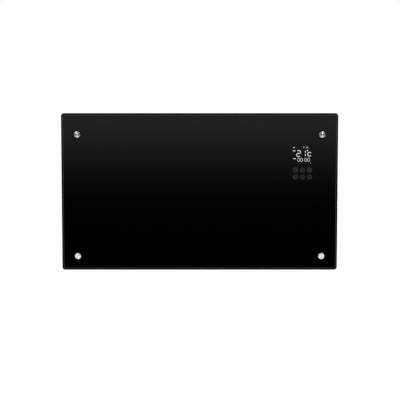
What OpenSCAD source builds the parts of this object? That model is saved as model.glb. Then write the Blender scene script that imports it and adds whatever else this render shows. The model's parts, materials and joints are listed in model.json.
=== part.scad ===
// Wall-hung convector heater with a glass front, in millimetres.
// Seen from the room, +X is right, +Z is up and the front faces -Y.
// The origin is the middle of the four wall screws, on the wall itself.
// A depth is always a distance from the wall, so it grows towards the room.

/* [Glass panel] */
// Width of the glass
glass_w = 790; // [760:1:850]
// Height of the glass
glass_h = 445; // [435:1:500]
// Thickness of the toughened glass
glass_t = 4; // [4:0.5:6]
// Radius of the glass corners
glass_r = 3.5; // [2:0.5:8]
// Width of the ground and polished edge of the glass
arris = 1; // [0.5:0.1:1.5]
// Gap between the glass and the tray behind it
pad_t = 2.5; // [2:0.5:4]

/* [Caps and glass screws] */
// Diameter of the metal caps
cap_d = 17.5; // [17:0.5:22]
// Wall of a cap round the screw head
cap_wall = 1.6; // [1:0.1:2]
// Thickness of a cap's face
cap_face_t = 1.2; // [0.8:0.1:2]
// From the side edge of the glass to the middle of a cap
cap_from_side = 42; // [37:0.5:50]
// From the top edge of the glass to the middle of an upper cap
cap_from_top = 56.5; // [50:0.5:70]
// From the bottom edge of the glass to the middle of a lower cap
cap_from_bottom = 36.5; // [32:0.5:50]
// Diameter of the glass screws
glass_screw_d = 5; // [4:0.5:6]
// Height of a glass screw's flange head
glass_head_h = 3; // [2:0.5:4]
// Thickness of the silicone under a screw head
washer_t = 1; // [0.5:0.25:2]

/* [Front tray] */
// How far the tray shows beyond the glass all round
rim = 5; // [3:0.5:8]
// Thickness of the tray's sheet
tray_t = 0.8; // [0.6:0.1:1.2]
// Depth of the tray's folded edge
tray_return = 10; // [6:0.5:14]
// Radius of the tray's corners
tray_r = 8.5; // [6:0.5:12]

/* [Rear shell] */
// Gap between the wall and the back of the shell
stand_off = 20; // [18:1:30]
// Depth of the shell
shell_depth = 62; // [60:1:80]
// Thickness of the shell's sheet
shell_t = 0.8; // [0.6:0.1:1.2]
// Radius of the shell's upright corners
shell_r = 14; // [8:1:20]
// Width of the flange that meets the tray
flange_w = 12; // [10:0.5:14]
// How far the tray stands out past the shell at each side
side_overhang = 30; // [24:1:33]
// How far the tray stands out above the shell
top_overhang = 42.5; // [30:0.5:46]
// How far the tray stands out below the shell
bottom_overhang = 22.5; // [20:0.5:26]
// From the top of the shell down to the wall screws
bracket_below_top = 90; // [80:1:100]

/* [Air slots and beads] */
// Width of one inlet slot
slot_w = 5; // [3:0.5:6]
// Length of an inlet slot in the underside
inlet_l = 38; // [20:1:44]
// Length of an inlet slot in the back
back_slot_l = 34; // [20:1:40]
// Distance from slot to slot
slot_pitch = 15; // [12:0.5:20]
// Width of the field of inlet slots
inlet_w = 450; // [300:5:470]
// Width of the two beads pressed into the back
press_w = 12; // [8:1:16]
// Height of the two beads pressed into the back
press_h = 1.5; // [1:0.25:1.75]

/* [Outlet grille] */
// From the side of the shell to the outlet opening
outlet_from_side = 50; // [30:1:120]
// Depth of the outlet opening
outlet_d = 41; // [36:1:44]
// Width of the grille's flange on the shell
grille_lip = 5; // [4:0.5:6]
// Thickness of the grille's flange
grille_t = 1.6; // [1:0.1:2]
// Height of the grille inside the opening
grille_h = 14; // [12:1:18]
// Radius of a vane's bend
vane_r = 18; // [16:1:24]
// Thickness of a vane
vane_t = 1.4; // [1:0.1:2]
// Angle that a vane leans towards the room
vane_angle = 38; // [20:1:40]
// Distance from vane to vane
vane_pitch = 6.5; // [6:0.5:10]
// Distance from rib to rib
rib_pitch = 80; // [60:5:120]

/* [Wall bracket] */
// Width of the bracket
bracket_w = 420; // [390:5:460]
// Height of the bracket
bracket_h = 80; // [74:1:90]
// Thickness of the bracket's sheet
bracket_t = 2; // [1.5:0.1:2.5]
// Width of the flanges on the wall
bracket_flange = 20; // [16:1:22]
// Gap between the bracket and the shell
bracket_gap = 2; // [1:0.5:4]
// From the end of the bracket to a screw hole
hole_from_end = 30; // [12:1:32]
// Diameter of the wall screw holes
wall_hole_d = 6; // [5:0.5:8]
// Distance between the two hooks
hook_spacing = 300; // [240:5:310]
// Width of a hook
hook_w = 30; // [20:1:40]
// Height of a hook's lip above its arm
lip_h = 12; // [8:1:14]

/* [Heating element] */
// From the left of the shell to the finned body
element_from_left = 60; // [58:1:70]
// From the right of the shell to the finned body
element_from_right = 140; // [136:1:180]
// From the bottom of the shell to the middle of the element
element_up = 95; // [90:1:105]
// Length of a fin arm
arm_l = 28; // [24:1:29]
// Thickness of a fin arm
arm_t = 2; // [1.5:0.1:3]
// Angle of the arms above and below level
arm_angle = 52; // [50:1:60]
// Number of cross fins on an arm
fin_n = 4; // [2:1:5]
// Diameter of the sheathed heating rod
sheath_d = 9; // [8:0.5:10]
// How far the rod stands out at each end
sheath_out = 30; // [24:1:34]
// From the middle of the element down to the end of the heat shield
shield_below = 72; // [60:1:80]
// From the middle of the element up to the end of the heat shield
shield_above = 130; // [100:1:140]

/* [Control box] */
// Width of the control box
box_w = 90; // [86:1:100]
// Height of the control box
box_h = 170; // [160:1:172]
// Depth of the control box
box_depth = 38; // [36:1:40]
// Wall of the control box
box_t = 2; // [1.5:0.1:3]
// From the right of the shell to the box
box_from_right = 18; // [12:1:22]
// From the top of the shell to the box
box_from_top = 45; // [42:1:50]
// Thickness of the circuit boards
board_t = 1.6; // [1:0.1:2]

/* [Display and touch keys] */
// From the right edge of the glass to the middle of the keys
display_from_side = 97.75; // [94:0.25:110]
// From the top edge of the glass to the upper row of keys
keys_from_top = 158.5; // [150:0.5:170]
// Distance from key to key
key_pitch = 20.4; // [18:0.1:22]
// Diameter of a touch spring
spring_d = 11; // [8:0.5:12]
// Width of the display holder
holder_w = 72; // [72:1:80]
// Height of the display holder
holder_h = 112; // [110:1:124]
// From the lower row of keys to the bottom of the holder
holder_below_keys = 14; // [12:0.5:18]
// Width of the digit module
digits_w = 55; // [44:1:55]
// Height of the digit module
digits_h = 50; // [36:1:52]
// From the upper row of keys to the middle of the digits
digits_above_keys = 43.5; // [40:0.5:44]

/* [Mains switch] */
// Length of the rocker
rocker_l = 23; // [20:0.5:26]
// Width of the rocker
rocker_w = 16.6; // [14:0.2:18]
// Tilt of the rocker to each side of level
rocker_tilt = 11; // [8:0.5:12]
// Height of the rocker's middle above its pin
rocker_rise = 3; // [2.5:0.25:4]
// Diameter of the rocker's pins
pin_d = 3; // [2:0.25:3.5]
// Depth of the housing behind the casing wall
switch_depth = 18; // [14:0.5:20]
// From the bottom of the shell to the middle of the switch
switch_up = 95; // [60:1:100]

/* [Cord inlet and feet] */
// Bore of the cable gland
gland_bore_d = 7.4; // [6:0.1:9]
// From the right of the shell to the gland
gland_from_right = 60; // [45:1:66]
// Distance between the left and right foot screws
foot_spacing = 520; // [505:1:530]
// Distance between the front and rear foot screws
foot_pair = 30; // [24:1:34]
// Diameter of the foot screws
foot_screw_d = 5; // [4:0.5:6]
// Diameter of the rubber wall bumpers
bumper_d = 20; // [14:1:26]

/* [Hidden] */

// How round the round pieces are
round_fn = 48;
fine_fn = 64;
// How far a cut runs past the face that it opens
cut = 1;
far = 60;

// Levels, as distances from the wall
shell_inside = stand_off + shell_t;
tray_back = stand_off + shell_depth;
tray_front = tray_back + tray_t;
glass_back = tray_front + pad_t;
glass_front = glass_back + glass_t;
shell_mid = stand_off + shell_depth / 2;

// Outlines, from the middle of the glass
tray_w = glass_w + 2 * rim;
tray_h = glass_h + 2 * rim;
shell_w = tray_w - 2 * side_overhang;
shell_right = shell_w / 2;
shell_top = tray_h / 2 - top_overhang;
shell_bottom = bottom_overhang - tray_h / 2;
shell_h = shell_top - shell_bottom;
shell_centre = (shell_top + shell_bottom) / 2;
outlet_w = shell_w - 2 * outlet_from_side;
glass_below = shell_top - bracket_below_top;

// Screws with pan heads, for sheet metal. The side of a head is a share of its height, and its
// top a share of its radius.
head_side = 0.6;
head_top = 0.7;
tapping_r = 1.9;
tapping_hole_r = 1.95;
tapping_head_r = 3.5;
tapping_head_h = 2.4;
tapping_l = 8;
// Shell screws, round the flange
flange_line = flange_w / 2;
top_screws = 4;
top_screw_span = 0.84;
// Screw tips stop short of the glass
tip_gap = 0.8;
shell_screw_l = shell_t + tray_t + pad_t - tip_gap;

// Fits
slip = 0.05;
easy = 0.1;
loose = 0.3;
least_r = 0.5;

// Glass screws and the pieces on them
cap_x = glass_w / 2 - cap_from_side;
cap_top_z = glass_h / 2 - cap_from_top;
cap_bottom_z = cap_from_bottom - glass_h / 2;
cap_points = [[-cap_x, cap_top_z], [cap_x, cap_top_z], [-cap_x, cap_bottom_z], [cap_x, cap_bottom_z]];
cap_bevel = 0.8;
washer_r = cap_d / 2 - cap_wall - easy;
sleeve_wall = 1.5;
sleeve_r = glass_screw_d / 2 + easy + sleeve_wall;
glass_hole_r = sleeve_r + easy;
glass_head_r = washer_r - easy;
cap_h = washer_t + glass_head_h + easy + cap_face_t;
nut_r = 5;
nut_h = 5;
spigot_wall = 0.9;
spigot_r = glass_screw_d / 2 + slip + spigot_wall;
pad_r = 11;
spare_pad = 25;
spare_pad_x = glass_w / 4;
spare_pad_z = glass_h / 3;

// Hooks: the shell hangs on the arms, and lifts until the lips are free
hook_arm_t = bracket_t;
hook_clear = 1.3;
bracket_front = stand_off - bracket_gap;
lip_back = shell_inside + hook_clear;
hook_end = lip_back + bracket_t;
hook_rest = loose;
hook_under = 0.7;
lift_spare = 1;
lift = lip_h + lift_spare;
hook_side_play = 6;
hook_slot_w = hook_w + 2 * hook_side_play;
hook_slot_h = hook_rest + lift + hook_arm_t + hook_under;
hook_window_h = bracket_h / 2 - bracket_flange - bracket_t;
bracket_bend = bracket_t + 1.5;
crown_h = bracket_h - 2 * bracket_flange + 2 * bracket_t;
bracket_slot_w = 14;
bracket_slot_pitch = hook_spacing / 4;
bracket_slot_l = bracket_slot_pitch - 20;

// Slots and the outlet opening
outlet_r = 2;
slot_n = floor(inlet_w / slot_pitch / 2);
slot_fn = 16;
back_slot_rise = 14;
back_slot_z = shell_bottom + back_slot_rise + back_slot_l / 2;

// Outlet grille: a flange, a throat, curved vanes and ribs across them
grille_in = outlet_d - 2 * loose - 2 * vane_t;
grille_corner_r = 3;
vane_lean = vane_r * (1 - cos(vane_angle));
vane_n = floor((grille_in - vane_lean) / vane_pitch);
vane_first = (grille_in - (vane_n - 1) * vane_pitch - vane_lean) / 2;
rib_n = floor(outlet_w / rib_pitch / 2);
rib_h = 5;
grille_screw_r = 1.3;
grille_screw_l = 6;
grille_head_r = 2.5;
grille_head_top_r = 1.8;
grille_head_h = 1.4;
grille_ear = 9;

// Heating element
element_x0 = -shell_right + element_from_left;
element_x1 = shell_right - element_from_right;
element_l = element_x1 - element_x0;
element_mid = (element_x0 + element_x1) / 2;
element_z = shell_bottom + element_up;
element_d = shell_mid;
core_wall = 4.5;
core_r = sheath_d / 2 + core_wall;
fin_t = 1.2;
fin_l = 9;
fin_gap = 2;
first_fin = core_r + fin_gap;
fin_step = (arm_l - first_fin) / (fin_n - 0.5);
end_plate_t = 1.2;
end_plate_gap = 8;
end_plate_h = 54;
end_plate_corner = 16;
end_plate_reach = 16;
end_plate_front = element_d + end_plate_reach;
foot_l = 14;
foot_screw_z = 18;
bush_r = 8;
bush_flange_r = 10.5;
bush_flange_t = 2;
bead_r = 4;
bead_l = 7;
stud_bare = 2;
stud_r = 1.5;
stud_l = 20;

// Heat shield, on the back of the tray
shield_t = 0.8;
shield_gap = 9;
shield_d = tray_back - shield_gap;
shield_low = element_z - shield_below;
shield_high = element_z + shield_above;
shield_flange = 12;

// Beads pressed into the back, clear of the bracket, the screws and the feet inside
press_r = 3.9;
press_end = 10;
press_x = element_mid;
press_l = element_l - 2 * press_end;
press_points = [[press_x, glass_below - 105], [press_x, element_z - 27]];

// Thermal cut-out over the element
cutout_gap = 6;
cutout_z = element_z + arm_l + cutout_gap;
cutout_w = 20;
cutout_beyond = 12;
cutout_reach = element_d + cutout_beyond;
cutout_r = 8;
cutout_cup_h = 4;
cutout_body_r = 7;
cutout_body_h = 8;
cutout_tab_x = 4;
cutout_foot_h = 18;
tab_w = 6.3;
tab_t = 0.8;
tab_l = 9;
fuse_r = 2;
fuse_l = 11;
fuse_lead_r = 0.5;
fuse_lead_l = 12;
fuse_out = 9;
fuse_d = shell_inside + fuse_out;
fuse_up = 3;
clip_w = 7;
clip_l = 6;
clip_h = 4.2;

// Control box
box_right = shell_right - box_from_right;
box_x = box_right - box_w / 2;
box_z = shell_top - box_from_top - box_h / 2;
box_lift = 4.8;
box_back = shell_inside + box_lift;
box_floor = box_back + box_t;
box_front = box_back + box_depth;
box_r = 4;
boss_r = 4.5;
boss_inset = 10;
boss_hole_r = 1.65;
box_bosses = [for (sx = [-1, 1], sz = [-1, 1])
    [box_x + sx * (box_w / 2 - boss_inset), box_z + sz * (box_h / 2 - boss_inset)]];
box_mouth_up = 4;
box_mouth_h = 8;
board_up = 6;
board_back = box_floor + board_up;
board_front = board_back + board_t;
board_gap = 3;
board_w = box_w - 2 * box_t - 2 * board_gap;
board_h = box_h - 2 * box_t - 2 * board_gap;
board_screw_r = 1.6;
board_head_r = 3;
board_head_h = 2;
board_screw_l = 5;
box_bottom_z = box_z - box_h / 2;
block_w = 56;
block_h = 16;
block_deep = 15;
block_up = 28;
block_z = box_bottom_z + block_up;
block_ways = 5;
block_entry_r = 2.5;
block_entry_l = 10;
block_clamp_r = 2.2;
block_clamp_l = 6;
relay_w = 19;
relay_h = 15.5;
relay_deep = 15;
relay_up = 30;
relay_z = block_z + relay_up;
relay_x = 14;
transformer_w = 34;
transformer_h = 30;
transformer_deep = 22;
yoke_h = 16.5;
coil_w = 24;
coil_deep = 17.5;
transformer_up = 36;
transformer_z = relay_z + transformer_up;
transformer_x = -18;
capacitor_r = 6.5;
capacitor_l = 20;
capacitor_x = 20;
capacitor_pitch = 16;
ribbon_w = 22;
ribbon_t = 1;
plug_w = 26;
plug_h = 6;
plug_deep = 7;

// Display
keys_x = glass_w / 2 - display_from_side;
upper_keys_z = glass_h / 2 - keys_from_top;
lower_keys_z = upper_keys_z - key_pitch;
holder_z = lower_keys_z - holder_below_keys + holder_h / 2;
holder_wall = 2;
holder_r = 4;
holder_tab = 8;
holder_tab_t = 2;
window_gap = 0.5;
gasket_t = 1;
holder_front = glass_back - gasket_t;
display_gap = 7.7;
display_face = glass_back - display_gap;
display_back = display_face - board_t;
holder_lip = 0.4;
holder_back = display_back - holder_lip;
post_r = 3.5;
post_inset = 5;
post_points = [for (sx = [-1, 1], sz = [-1, 1])
    [keys_x + sx * (holder_w / 2 - post_inset), holder_z + sz * (holder_h / 2 - post_inset)]];
module_deep = 6.5;
spring_wall = 0.6;
spring_gap = 0.1;
holder_screw_l = holder_tab_t + tray_t + pad_t - tip_gap;
holder_screw_in = 18;
holder_screw_z = holder_h / 2 - holder_screw_in;

// Ribbon from the power board to the display board
ribbon_x = (box_x + keys_x) / 2;
ribbon_down = 22;
ribbon_z = box_z + box_h / 2 - ribbon_down;

// Room sensor
sensor_in = 60;
sensor_x = sensor_in - shell_right;
sensor_r = 2.5;
sensor_l = 16;
sensor_up = 8;
sensor_clip_w = 10;

// Mains switch, in the right wall of the shell
switch_z = shell_bottom + switch_up;
switch_x = shell_right;
rocker_end = rocker_rise + rocker_l / 2 * tan(rocker_tilt);
rocker_r = norm([rocker_l / 2, rocker_end]);
rocker_under = 3;
bezel_t = 2;
bezel_r = 2;
rocker_out = 0.5;
pivot_x = switch_x + bezel_t + rocker_out - rocker_rise * cos(rocker_tilt);
switch_well_l = 2 * (rocker_r + loose);
switch_well_w = rocker_w + 2 * loose;
switch_wall = 1.8;
switch_end_wall = 1.5;
bezel_edge = 2;
well_gap = 0.6;
well_floor = pivot_x - rocker_under - rocker_l / 2 * sin(rocker_tilt) - well_gap;
pin_l = 1.5;
switch_tab_z = 7;
switch_tab_d = 5;

// Cord inlet
gland_x = shell_right - gland_from_right;
gland_wall = 4.2;
gland_r = gland_bore_d / 2 + gland_wall;
gland_hex_out = 3.4;
gland_hex_r = gland_r + gland_hex_out;
gland_flange_t = 4;
gland_dome_h = 14;
gland_barrel_l = 9;
gland_barrel_r = gland_r + 1.5;
gland_tip_r = gland_r - 1.5;
flute_n = 12;
flute_r = 1;
gland_thread_l = 13;
gland_nut_h = 4;

// Feet and bumpers
foot_nut_r = 4.5;
foot_nut_h = 4;
foot_points = [for (sx = [-1, 1], sd = [-1, 1])
    [sx * foot_spacing / 2, shell_mid + sd * foot_pair / 2]];
bumper_x = foot_spacing / 2;
bumper_up = 38;
bumper_z = shell_bottom + bumper_up;
bumper_peg_r = 3;
bumper_peg_out = 1.5;
bumper_bevel = 1.5;

// Earth stud
earth_out = 16;
earth_up = 14;
earth_x = box_x - box_w / 2 - earth_out;
earth_z = box_bottom_z + earth_up;
earth_r = 2;
earth_l = 14;
earth_head_r = 3.5;
earth_head_h = 1.5;
earth_nut_r = 4;
earth_nut_h = 3;

// Leads. A route is a list of [x, depth, z] corners, square to each other.
lead_r = 1.3;
lead_bend = 6;
lead_sides = 8;
bend_steps = 4;
quarter = 90;
lead_in = 4;
entry_d = board_front + block_deep / 2;
entry_z = block_z - block_h / 2;
switch_tab_x = switch_x - switch_depth - tab_l;
stud_tab_x = element_x1 + sheath_out + (bead_l + stud_bare + stud_l) / 2;
left_tab_x = element_x0 - sheath_out - (bead_l + stud_bare + stud_l) / 2;
stud_tab_top = element_z + tab_w / 2;
cutout_tab_top = cutout_z + end_plate_t + cutout_cup_h + cutout_body_h + tab_l;
fuse_z = cutout_z + end_plate_t + fuse_up;
fuse_end = fuse_l / 2 + fuse_lead_l;
lead_rise = 12;
lead_gap = 10;
low_run = cutout_tab_top + lead_rise;
mid_run = low_run + lead_gap;
stud_run = low_run - lead_gap;
switch_drop = 20;
sensor_drop = 12;
sensor_z = shell_bottom + shell_t + sensor_up;
function way_x(i) = box_x + (i - (block_ways - 1) / 2) * block_w / block_ways;
switch_routes = [for (s = [-1, 1])
    [[switch_tab_x, shell_mid + s * switch_tab_d, switch_z + switch_tab_z],
        [way_x(s > 0 ? 3 : 4), shell_mid + s * switch_tab_d, switch_z + switch_tab_z],
        [way_x(s > 0 ? 3 : 4), shell_mid + s * switch_tab_d, box_bottom_z - switch_drop],
        [way_x(s > 0 ? 3 : 4), entry_d, box_bottom_z - switch_drop],
        [way_x(s > 0 ? 3 : 4), entry_d, entry_z + lead_in]]];
element_routes = [
    [[left_tab_x, element_d, stud_tab_top], [left_tab_x, element_d, low_run],
        [element_mid - cutout_tab_x, element_d, low_run],
        [element_mid - cutout_tab_x, element_d, cutout_tab_top]],
    [[element_mid + cutout_tab_x, element_d, cutout_tab_top],
        [element_mid + cutout_tab_x, element_d, low_run],
        [element_mid + 2 * fuse_end, element_d, low_run],
        [element_mid + 2 * fuse_end, fuse_d, low_run],
        [element_mid + 2 * fuse_end, fuse_d, fuse_z], [element_mid + fuse_end, fuse_d, fuse_z]],
    [[element_mid - fuse_end, fuse_d, fuse_z], [element_mid - 2 * fuse_end, fuse_d, fuse_z],
        [element_mid - 2 * fuse_end, fuse_d, mid_run], [way_x(0), fuse_d, mid_run],
        [way_x(0), entry_d, mid_run], [way_x(0), entry_d, entry_z + lead_in]],
    [[stud_tab_x, element_d, stud_tab_top], [stud_tab_x, element_d, stud_run],
        [way_x(1), element_d, stud_run], [way_x(1), entry_d, stud_run],
        [way_x(1), entry_d, entry_z + lead_in]]];
sensor_lead_r = 0.9;
sensor_run_out = 10;
sensor_run_d = shell_inside + sensor_run_out;
sensor_run_x = box_x - box_w / 2;
sensor_routes = [[[sensor_x, shell_mid - sensor_l / 2, sensor_z], [sensor_x, sensor_run_d, sensor_z],
    [sensor_run_x, sensor_run_d, sensor_z], [sensor_run_x, sensor_run_d, box_bottom_z - sensor_drop],
    [way_x(2), sensor_run_d, box_bottom_z - sensor_drop], [way_x(2), entry_d, box_bottom_z - sensor_drop],
    [way_x(2), entry_d, entry_z + lead_in]]];

// Finishes, as the photograph shows them or as such pieces come
black_glass = "#111214";
black_paint = "#0d0d0e";
black_plastic = "#1a1a1c";
bright_metal = "#cfd0d2";
zinc = "#b4b7ba";
aluminium = "#c2c5c8";
silicone = "#5b5c5e";
ceramic = "#e6e1d6";
board_green = "#1f5d38";
white_plastic = "#e4e2dc";
brass = "#c9a24a";
relay_blue = "#20304a";
tape_yellow = "#c8b23c";
dark_sleeve = "#28282a";
ribbon_grey = "#8a8c90";
lead_brown = "#7a4a2a";
lead_pale = "#b8b4aa";

// Puts what is placed from the middle of the glass where the glass is
module heater() translate([0, 0, -glass_below]) children();

// Extrudes an outline in X and Z from one depth towards the room
module from_wall(depth, thick)
    translate([0, -depth, 0]) rotate([90, 0, 0]) linear_extrude(thick) children();

// Extrudes an outline in depth and Z along X
module along_x(x, length)
    translate([x, 0, 0]) mirror([0, 1, 0]) rotate([90, 0, 90]) linear_extrude(length) children();

// Extrudes an outline in X and depth upwards
module along_z(z, height)
    translate([0, 0, z]) mirror([0, 1, 0]) linear_extrude(height) children();

// A round bar towards the room
module bar_out(p, depth, length, r)
    translate([p[0], -depth, p[1]]) rotate([90, 0, 0]) cylinder(r = r, h = length, $fn = round_fn);

// A round bar along X
module bar_x(x, length, depth, z, r)
    translate([x, -depth, z]) rotate([0, 90, 0]) cylinder(r = r, h = length, $fn = round_fn);

// A block given by its middle in X and Z, its depth and its size
module block(p, depth, size)
    translate([p[0] - size[0] / 2, -depth - size[1], p[1] - size[2] / 2]) cube(size);

module rounded(w, h, r) {
    square([w - 2 * r, h], center = true);
    square([w, h - 2 * r], center = true);
    for (sx = [-1, 1], sz = [-1, 1])
        translate([sx * (w / 2 - r), sz * (h / 2 - r)]) circle(r = r, $fn = round_fn);
}

// A slot with round ends, upright
module slot(w, l) {
    square([w, l - w], center = true);
    for (s = [-1, 1]) translate([0, s * (l - w) / 2]) circle(d = w, $fn = slot_fn);
}

// The shell's outline, drawn in by inset
module shell_outline(inset)
    translate([0, shell_centre]) rounded(shell_w - 2 * inset, shell_h - 2 * inset, shell_r - inset);

// A pan-head screw that points towards the room, with the underside of its head at depth
module pan_screw(p, depth, length, shank_r, head_r, head_h) {
    bar_out(p, depth - cut / 10, length + cut / 10, shank_r);
    translate([p[0], -depth, p[1]]) rotate([-90, 0, 0]) {
        cylinder(r = head_r, h = head_h * head_side, $fn = round_fn);
        cylinder(r1 = head_r, r2 = head_r * head_top, h = head_h, $fn = round_fn);
    }
}

// Where the shell screws go, round the flange
function shell_screw_points() = concat(
    [for (i = [0 : top_screws - 1], s = [-1, 1])
        [top_screw_span * shell_right * (2 * i / (top_screws - 1) - 1),
            shell_centre + s * (shell_h / 2 + flange_line)]],
    [for (s = [-1, 1]) [s * (shell_right + flange_line), shell_centre]]);

// Screws that come through the back wall into the sheet-metal feet inside
function foot_screw_points() = concat(
    [for (x = [element_x0 - end_plate_gap - foot_l / 2, element_x1 + end_plate_gap + foot_l / 2],
        s = [-1, 1]) [x, element_z + s * foot_screw_z]],
    [[element_mid, cutout_z + cutout_foot_h / 2]]);

module hook_slots() {
    for (s = [-1, 1])
        from_wall(stand_off - cut, shell_t + 2 * cut)
            translate([s * hook_spacing / 2, glass_below + hook_rest - hook_slot_h / 2])
                square([hook_slot_w, hook_slot_h], center = true);
}

// Section of the bracket: a hat with its brim on the wall and its crown towards the shell
module bracket_section() {
    for (z = [-bracket_h / 2, bracket_h / 2 - bracket_flange])
        translate([0, z]) square([bracket_t, bracket_flange]);
    difference() {
        rounded(2 * bracket_front, crown_h, bracket_bend);
        rounded(2 * (bracket_front - bracket_t), crown_h - 2 * bracket_t, bracket_bend - bracket_t);
        translate([-far, -far]) square([far, 2 * far]);
    }
}

module wall_bracket() color(black_paint) {
    difference() {
        along_x(-bracket_w / 2, bracket_w) bracket_section();
        for (i = [-1, 0, 1])
            from_wall(bracket_front - bracket_t - cut, bracket_t + 2 * cut)
                translate([i * bracket_slot_pitch, 0]) rotate(90) slot(bracket_slot_w, bracket_slot_l);
        for (sx = [-1, 1], sz = [-1, 1])
            bar_out([sx * (bracket_w / 2 - hole_from_end), sz * (bracket_h - bracket_flange) / 2],
                -cut, bracket_t + 2 * cut, wall_hole_d / 2);
        for (s = [-1, 1])
            from_wall(bracket_front - bracket_t - cut, bracket_t + 2 * cut)
                translate([s * hook_spacing / 2, hook_window_h / 2])
                    square([hook_w, hook_window_h], center = true);
    }
    for (s = [-1, 1])
        translate([s * hook_spacing / 2 - hook_w / 2, 0, 0])
            along_x(0, hook_w) {
                translate([bracket_front - bracket_t, -hook_arm_t])
                    square([hook_end - bracket_front + bracket_t, hook_arm_t]);
                translate([lip_back, -hook_arm_t]) square([bracket_t, hook_arm_t + lip_h]);
            }
}

// The beads' outline, drawn in by inset
module press_outline(inset)
    for (p = press_points)
        translate(p) rounded(press_l - 2 * inset, press_w - 2 * inset, press_r - inset);

module rear_shell() color(black_paint) heater() difference() {
    union() {
        from_wall(stand_off - press_h, press_h + shell_t) press_outline(0);
        difference() {
            from_wall(stand_off, shell_depth) shell_outline(0);
            from_wall(shell_inside, shell_depth) shell_outline(shell_t);
        }
        from_wall(tray_back - shell_t, shell_t) difference() {
            shell_outline(-flange_w);
            shell_outline(shell_t / 2);
        }
    }
    along_z(shell_top - shell_t - cut, shell_t + 2 * cut)
        translate([0, shell_mid]) rounded(outlet_w, outlet_d, outlet_r);
    for (i = [-slot_n : slot_n]) {
        along_z(shell_bottom - cut, shell_t + 2 * cut)
            translate([i * slot_pitch, shell_mid]) slot(slot_w, inlet_l);
        from_wall(stand_off - cut, shell_t + 2 * cut)
            translate([i * slot_pitch, back_slot_z]) slot(slot_w, back_slot_l);
    }
    from_wall(stand_off - press_h + shell_t, press_h + cut) press_outline(shell_t);
    hook_slots();
    along_x(switch_x - shell_t - cut, shell_t + 2 * cut)
        translate([shell_mid, switch_z])
            square([switch_well_w + 2 * switch_wall + 2 * easy,
                switch_well_l + 2 * switch_end_wall + 2 * easy], center = true);
    translate([gland_x, -shell_mid, shell_bottom - cut])
        cylinder(r = gland_r + easy, h = shell_t + 2 * cut, $fn = round_fn);
    for (p = foot_points)
        translate([p[0], -p[1], shell_bottom - cut])
            cylinder(r = foot_screw_d / 2 + easy, h = shell_t + 2 * cut, $fn = round_fn);
    for (p = shell_screw_points())
        bar_out(p, tray_back - shell_t - cut, shell_t + 2 * cut, tapping_hole_r);
    for (p = concat(box_bosses, foot_screw_points()))
        bar_out(p, stand_off - cut, shell_t + 2 * cut, tapping_hole_r);
    for (s = [-1, 1])
        bar_out([s * bumper_x, bumper_z], stand_off - cut, shell_t + 2 * cut, bumper_peg_r + easy);
    bar_out([earth_x, earth_z], stand_off - cut, shell_t + 2 * cut, earth_r + easy);
    for (p = grille_screw_points())
        translate([p[0], -p[1], shell_top - shell_t - cut])
            cylinder(r = grille_screw_r + easy, h = shell_t + 2 * cut, $fn = round_fn);
}

module shell_screws() color(zinc) heater()
    for (p = shell_screw_points())
        pan_screw(p, tray_back - shell_t, shell_screw_l, tapping_r, tapping_head_r, tapping_head_h);

// Where the grille's screws go, in X and depth
function grille_screw_points() =
    [for (sx = [-1, 1], sd = [-1, 1])
        [sx * (outlet_w / 2 + grille_ear / 2), shell_mid + sd * outlet_d / 4]];

// One vane's section: upright at its foot, bent towards the room at its top
module vane_section() difference() {
    circle(r = vane_r + vane_t / 2, $fn = fine_fn);
    circle(r = vane_r - vane_t / 2, $fn = fine_fn);
    polygon([[0, 0], [-far, far * tan(vane_angle)], [-far, far], [far, far], [far, -far],
        [-far, -far], [-far, 0]]);
}

module outlet_grille() color(black_paint) heater() difference() {
    union() {
        along_z(shell_top, grille_t) translate([0, shell_mid]) difference() {
            rounded(outlet_w + 2 * grille_ear, outlet_d + 2 * grille_lip, grille_corner_r);
            square([outlet_w - 2 * loose - 2 * vane_t, grille_in], center = true);
        }
        along_z(shell_top + grille_t - grille_h, grille_h) translate([0, shell_mid]) difference() {
            rounded(outlet_w - 2 * loose, outlet_d - 2 * loose, outlet_r);
            square([outlet_w - 2 * loose - 2 * vane_t, grille_in], center = true);
        }
        for (i = [0 : vane_n - 1])
            along_x(-outlet_w / 2 + loose + vane_t / 2, outlet_w - 2 * loose - vane_t)
                translate([shell_mid - grille_in / 2 + vane_first + i * vane_pitch + vane_r,
                    shell_top + grille_t - vane_r * sin(vane_angle)]) vane_section();
        for (i = [-rib_n : rib_n])
            translate([i * rib_pitch - vane_t / 2, -shell_mid - grille_in / 2 - vane_t / 2,
                shell_top + grille_t - grille_h])
                cube([vane_t, grille_in + vane_t, rib_h]);
    }
    for (p = grille_screw_points())
        translate([p[0], -p[1], shell_top - cut])
            cylinder(r = grille_screw_r + easy, h = grille_t + 2 * cut, $fn = round_fn);
}

module grille_screws() color(zinc) heater()
    for (p = grille_screw_points())
        translate([p[0], -p[1], shell_top + grille_t]) {
            translate([0, 0, -grille_screw_l])
                cylinder(r = grille_screw_r, h = grille_screw_l + cut / 10, $fn = round_fn);
            cylinder(r1 = grille_head_r, r2 = grille_head_top_r, h = grille_head_h, $fn = round_fn);
        }

module wall_bumpers() color(silicone) heater()
    for (s = [-1, 1]) {
        translate([s * bumper_x, 0, bumper_z]) rotate([90, 0, 0]) rotate_extrude($fn = fine_fn)
            polygon([[0, 0], [bumper_d / 2 - bumper_bevel, 0], [bumper_d / 2, bumper_bevel],
                [bumper_d / 2, stand_off], [0, stand_off]]);
        bar_out([s * bumper_x, bumper_z], stand_off - cut, shell_t + bumper_peg_out + cut, bumper_peg_r);
    }

module foot_nuts() color(zinc) heater()
    for (p = foot_points)
        translate([p[0], -p[1], shell_bottom + shell_t]) difference() {
            cylinder(r = foot_nut_r, h = foot_nut_h, $fn = round_fn);
            translate([0, 0, -cut])
                cylinder(r = foot_screw_d / 2 + easy, h = foot_nut_h + 2 * cut, $fn = round_fn);
        }

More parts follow.
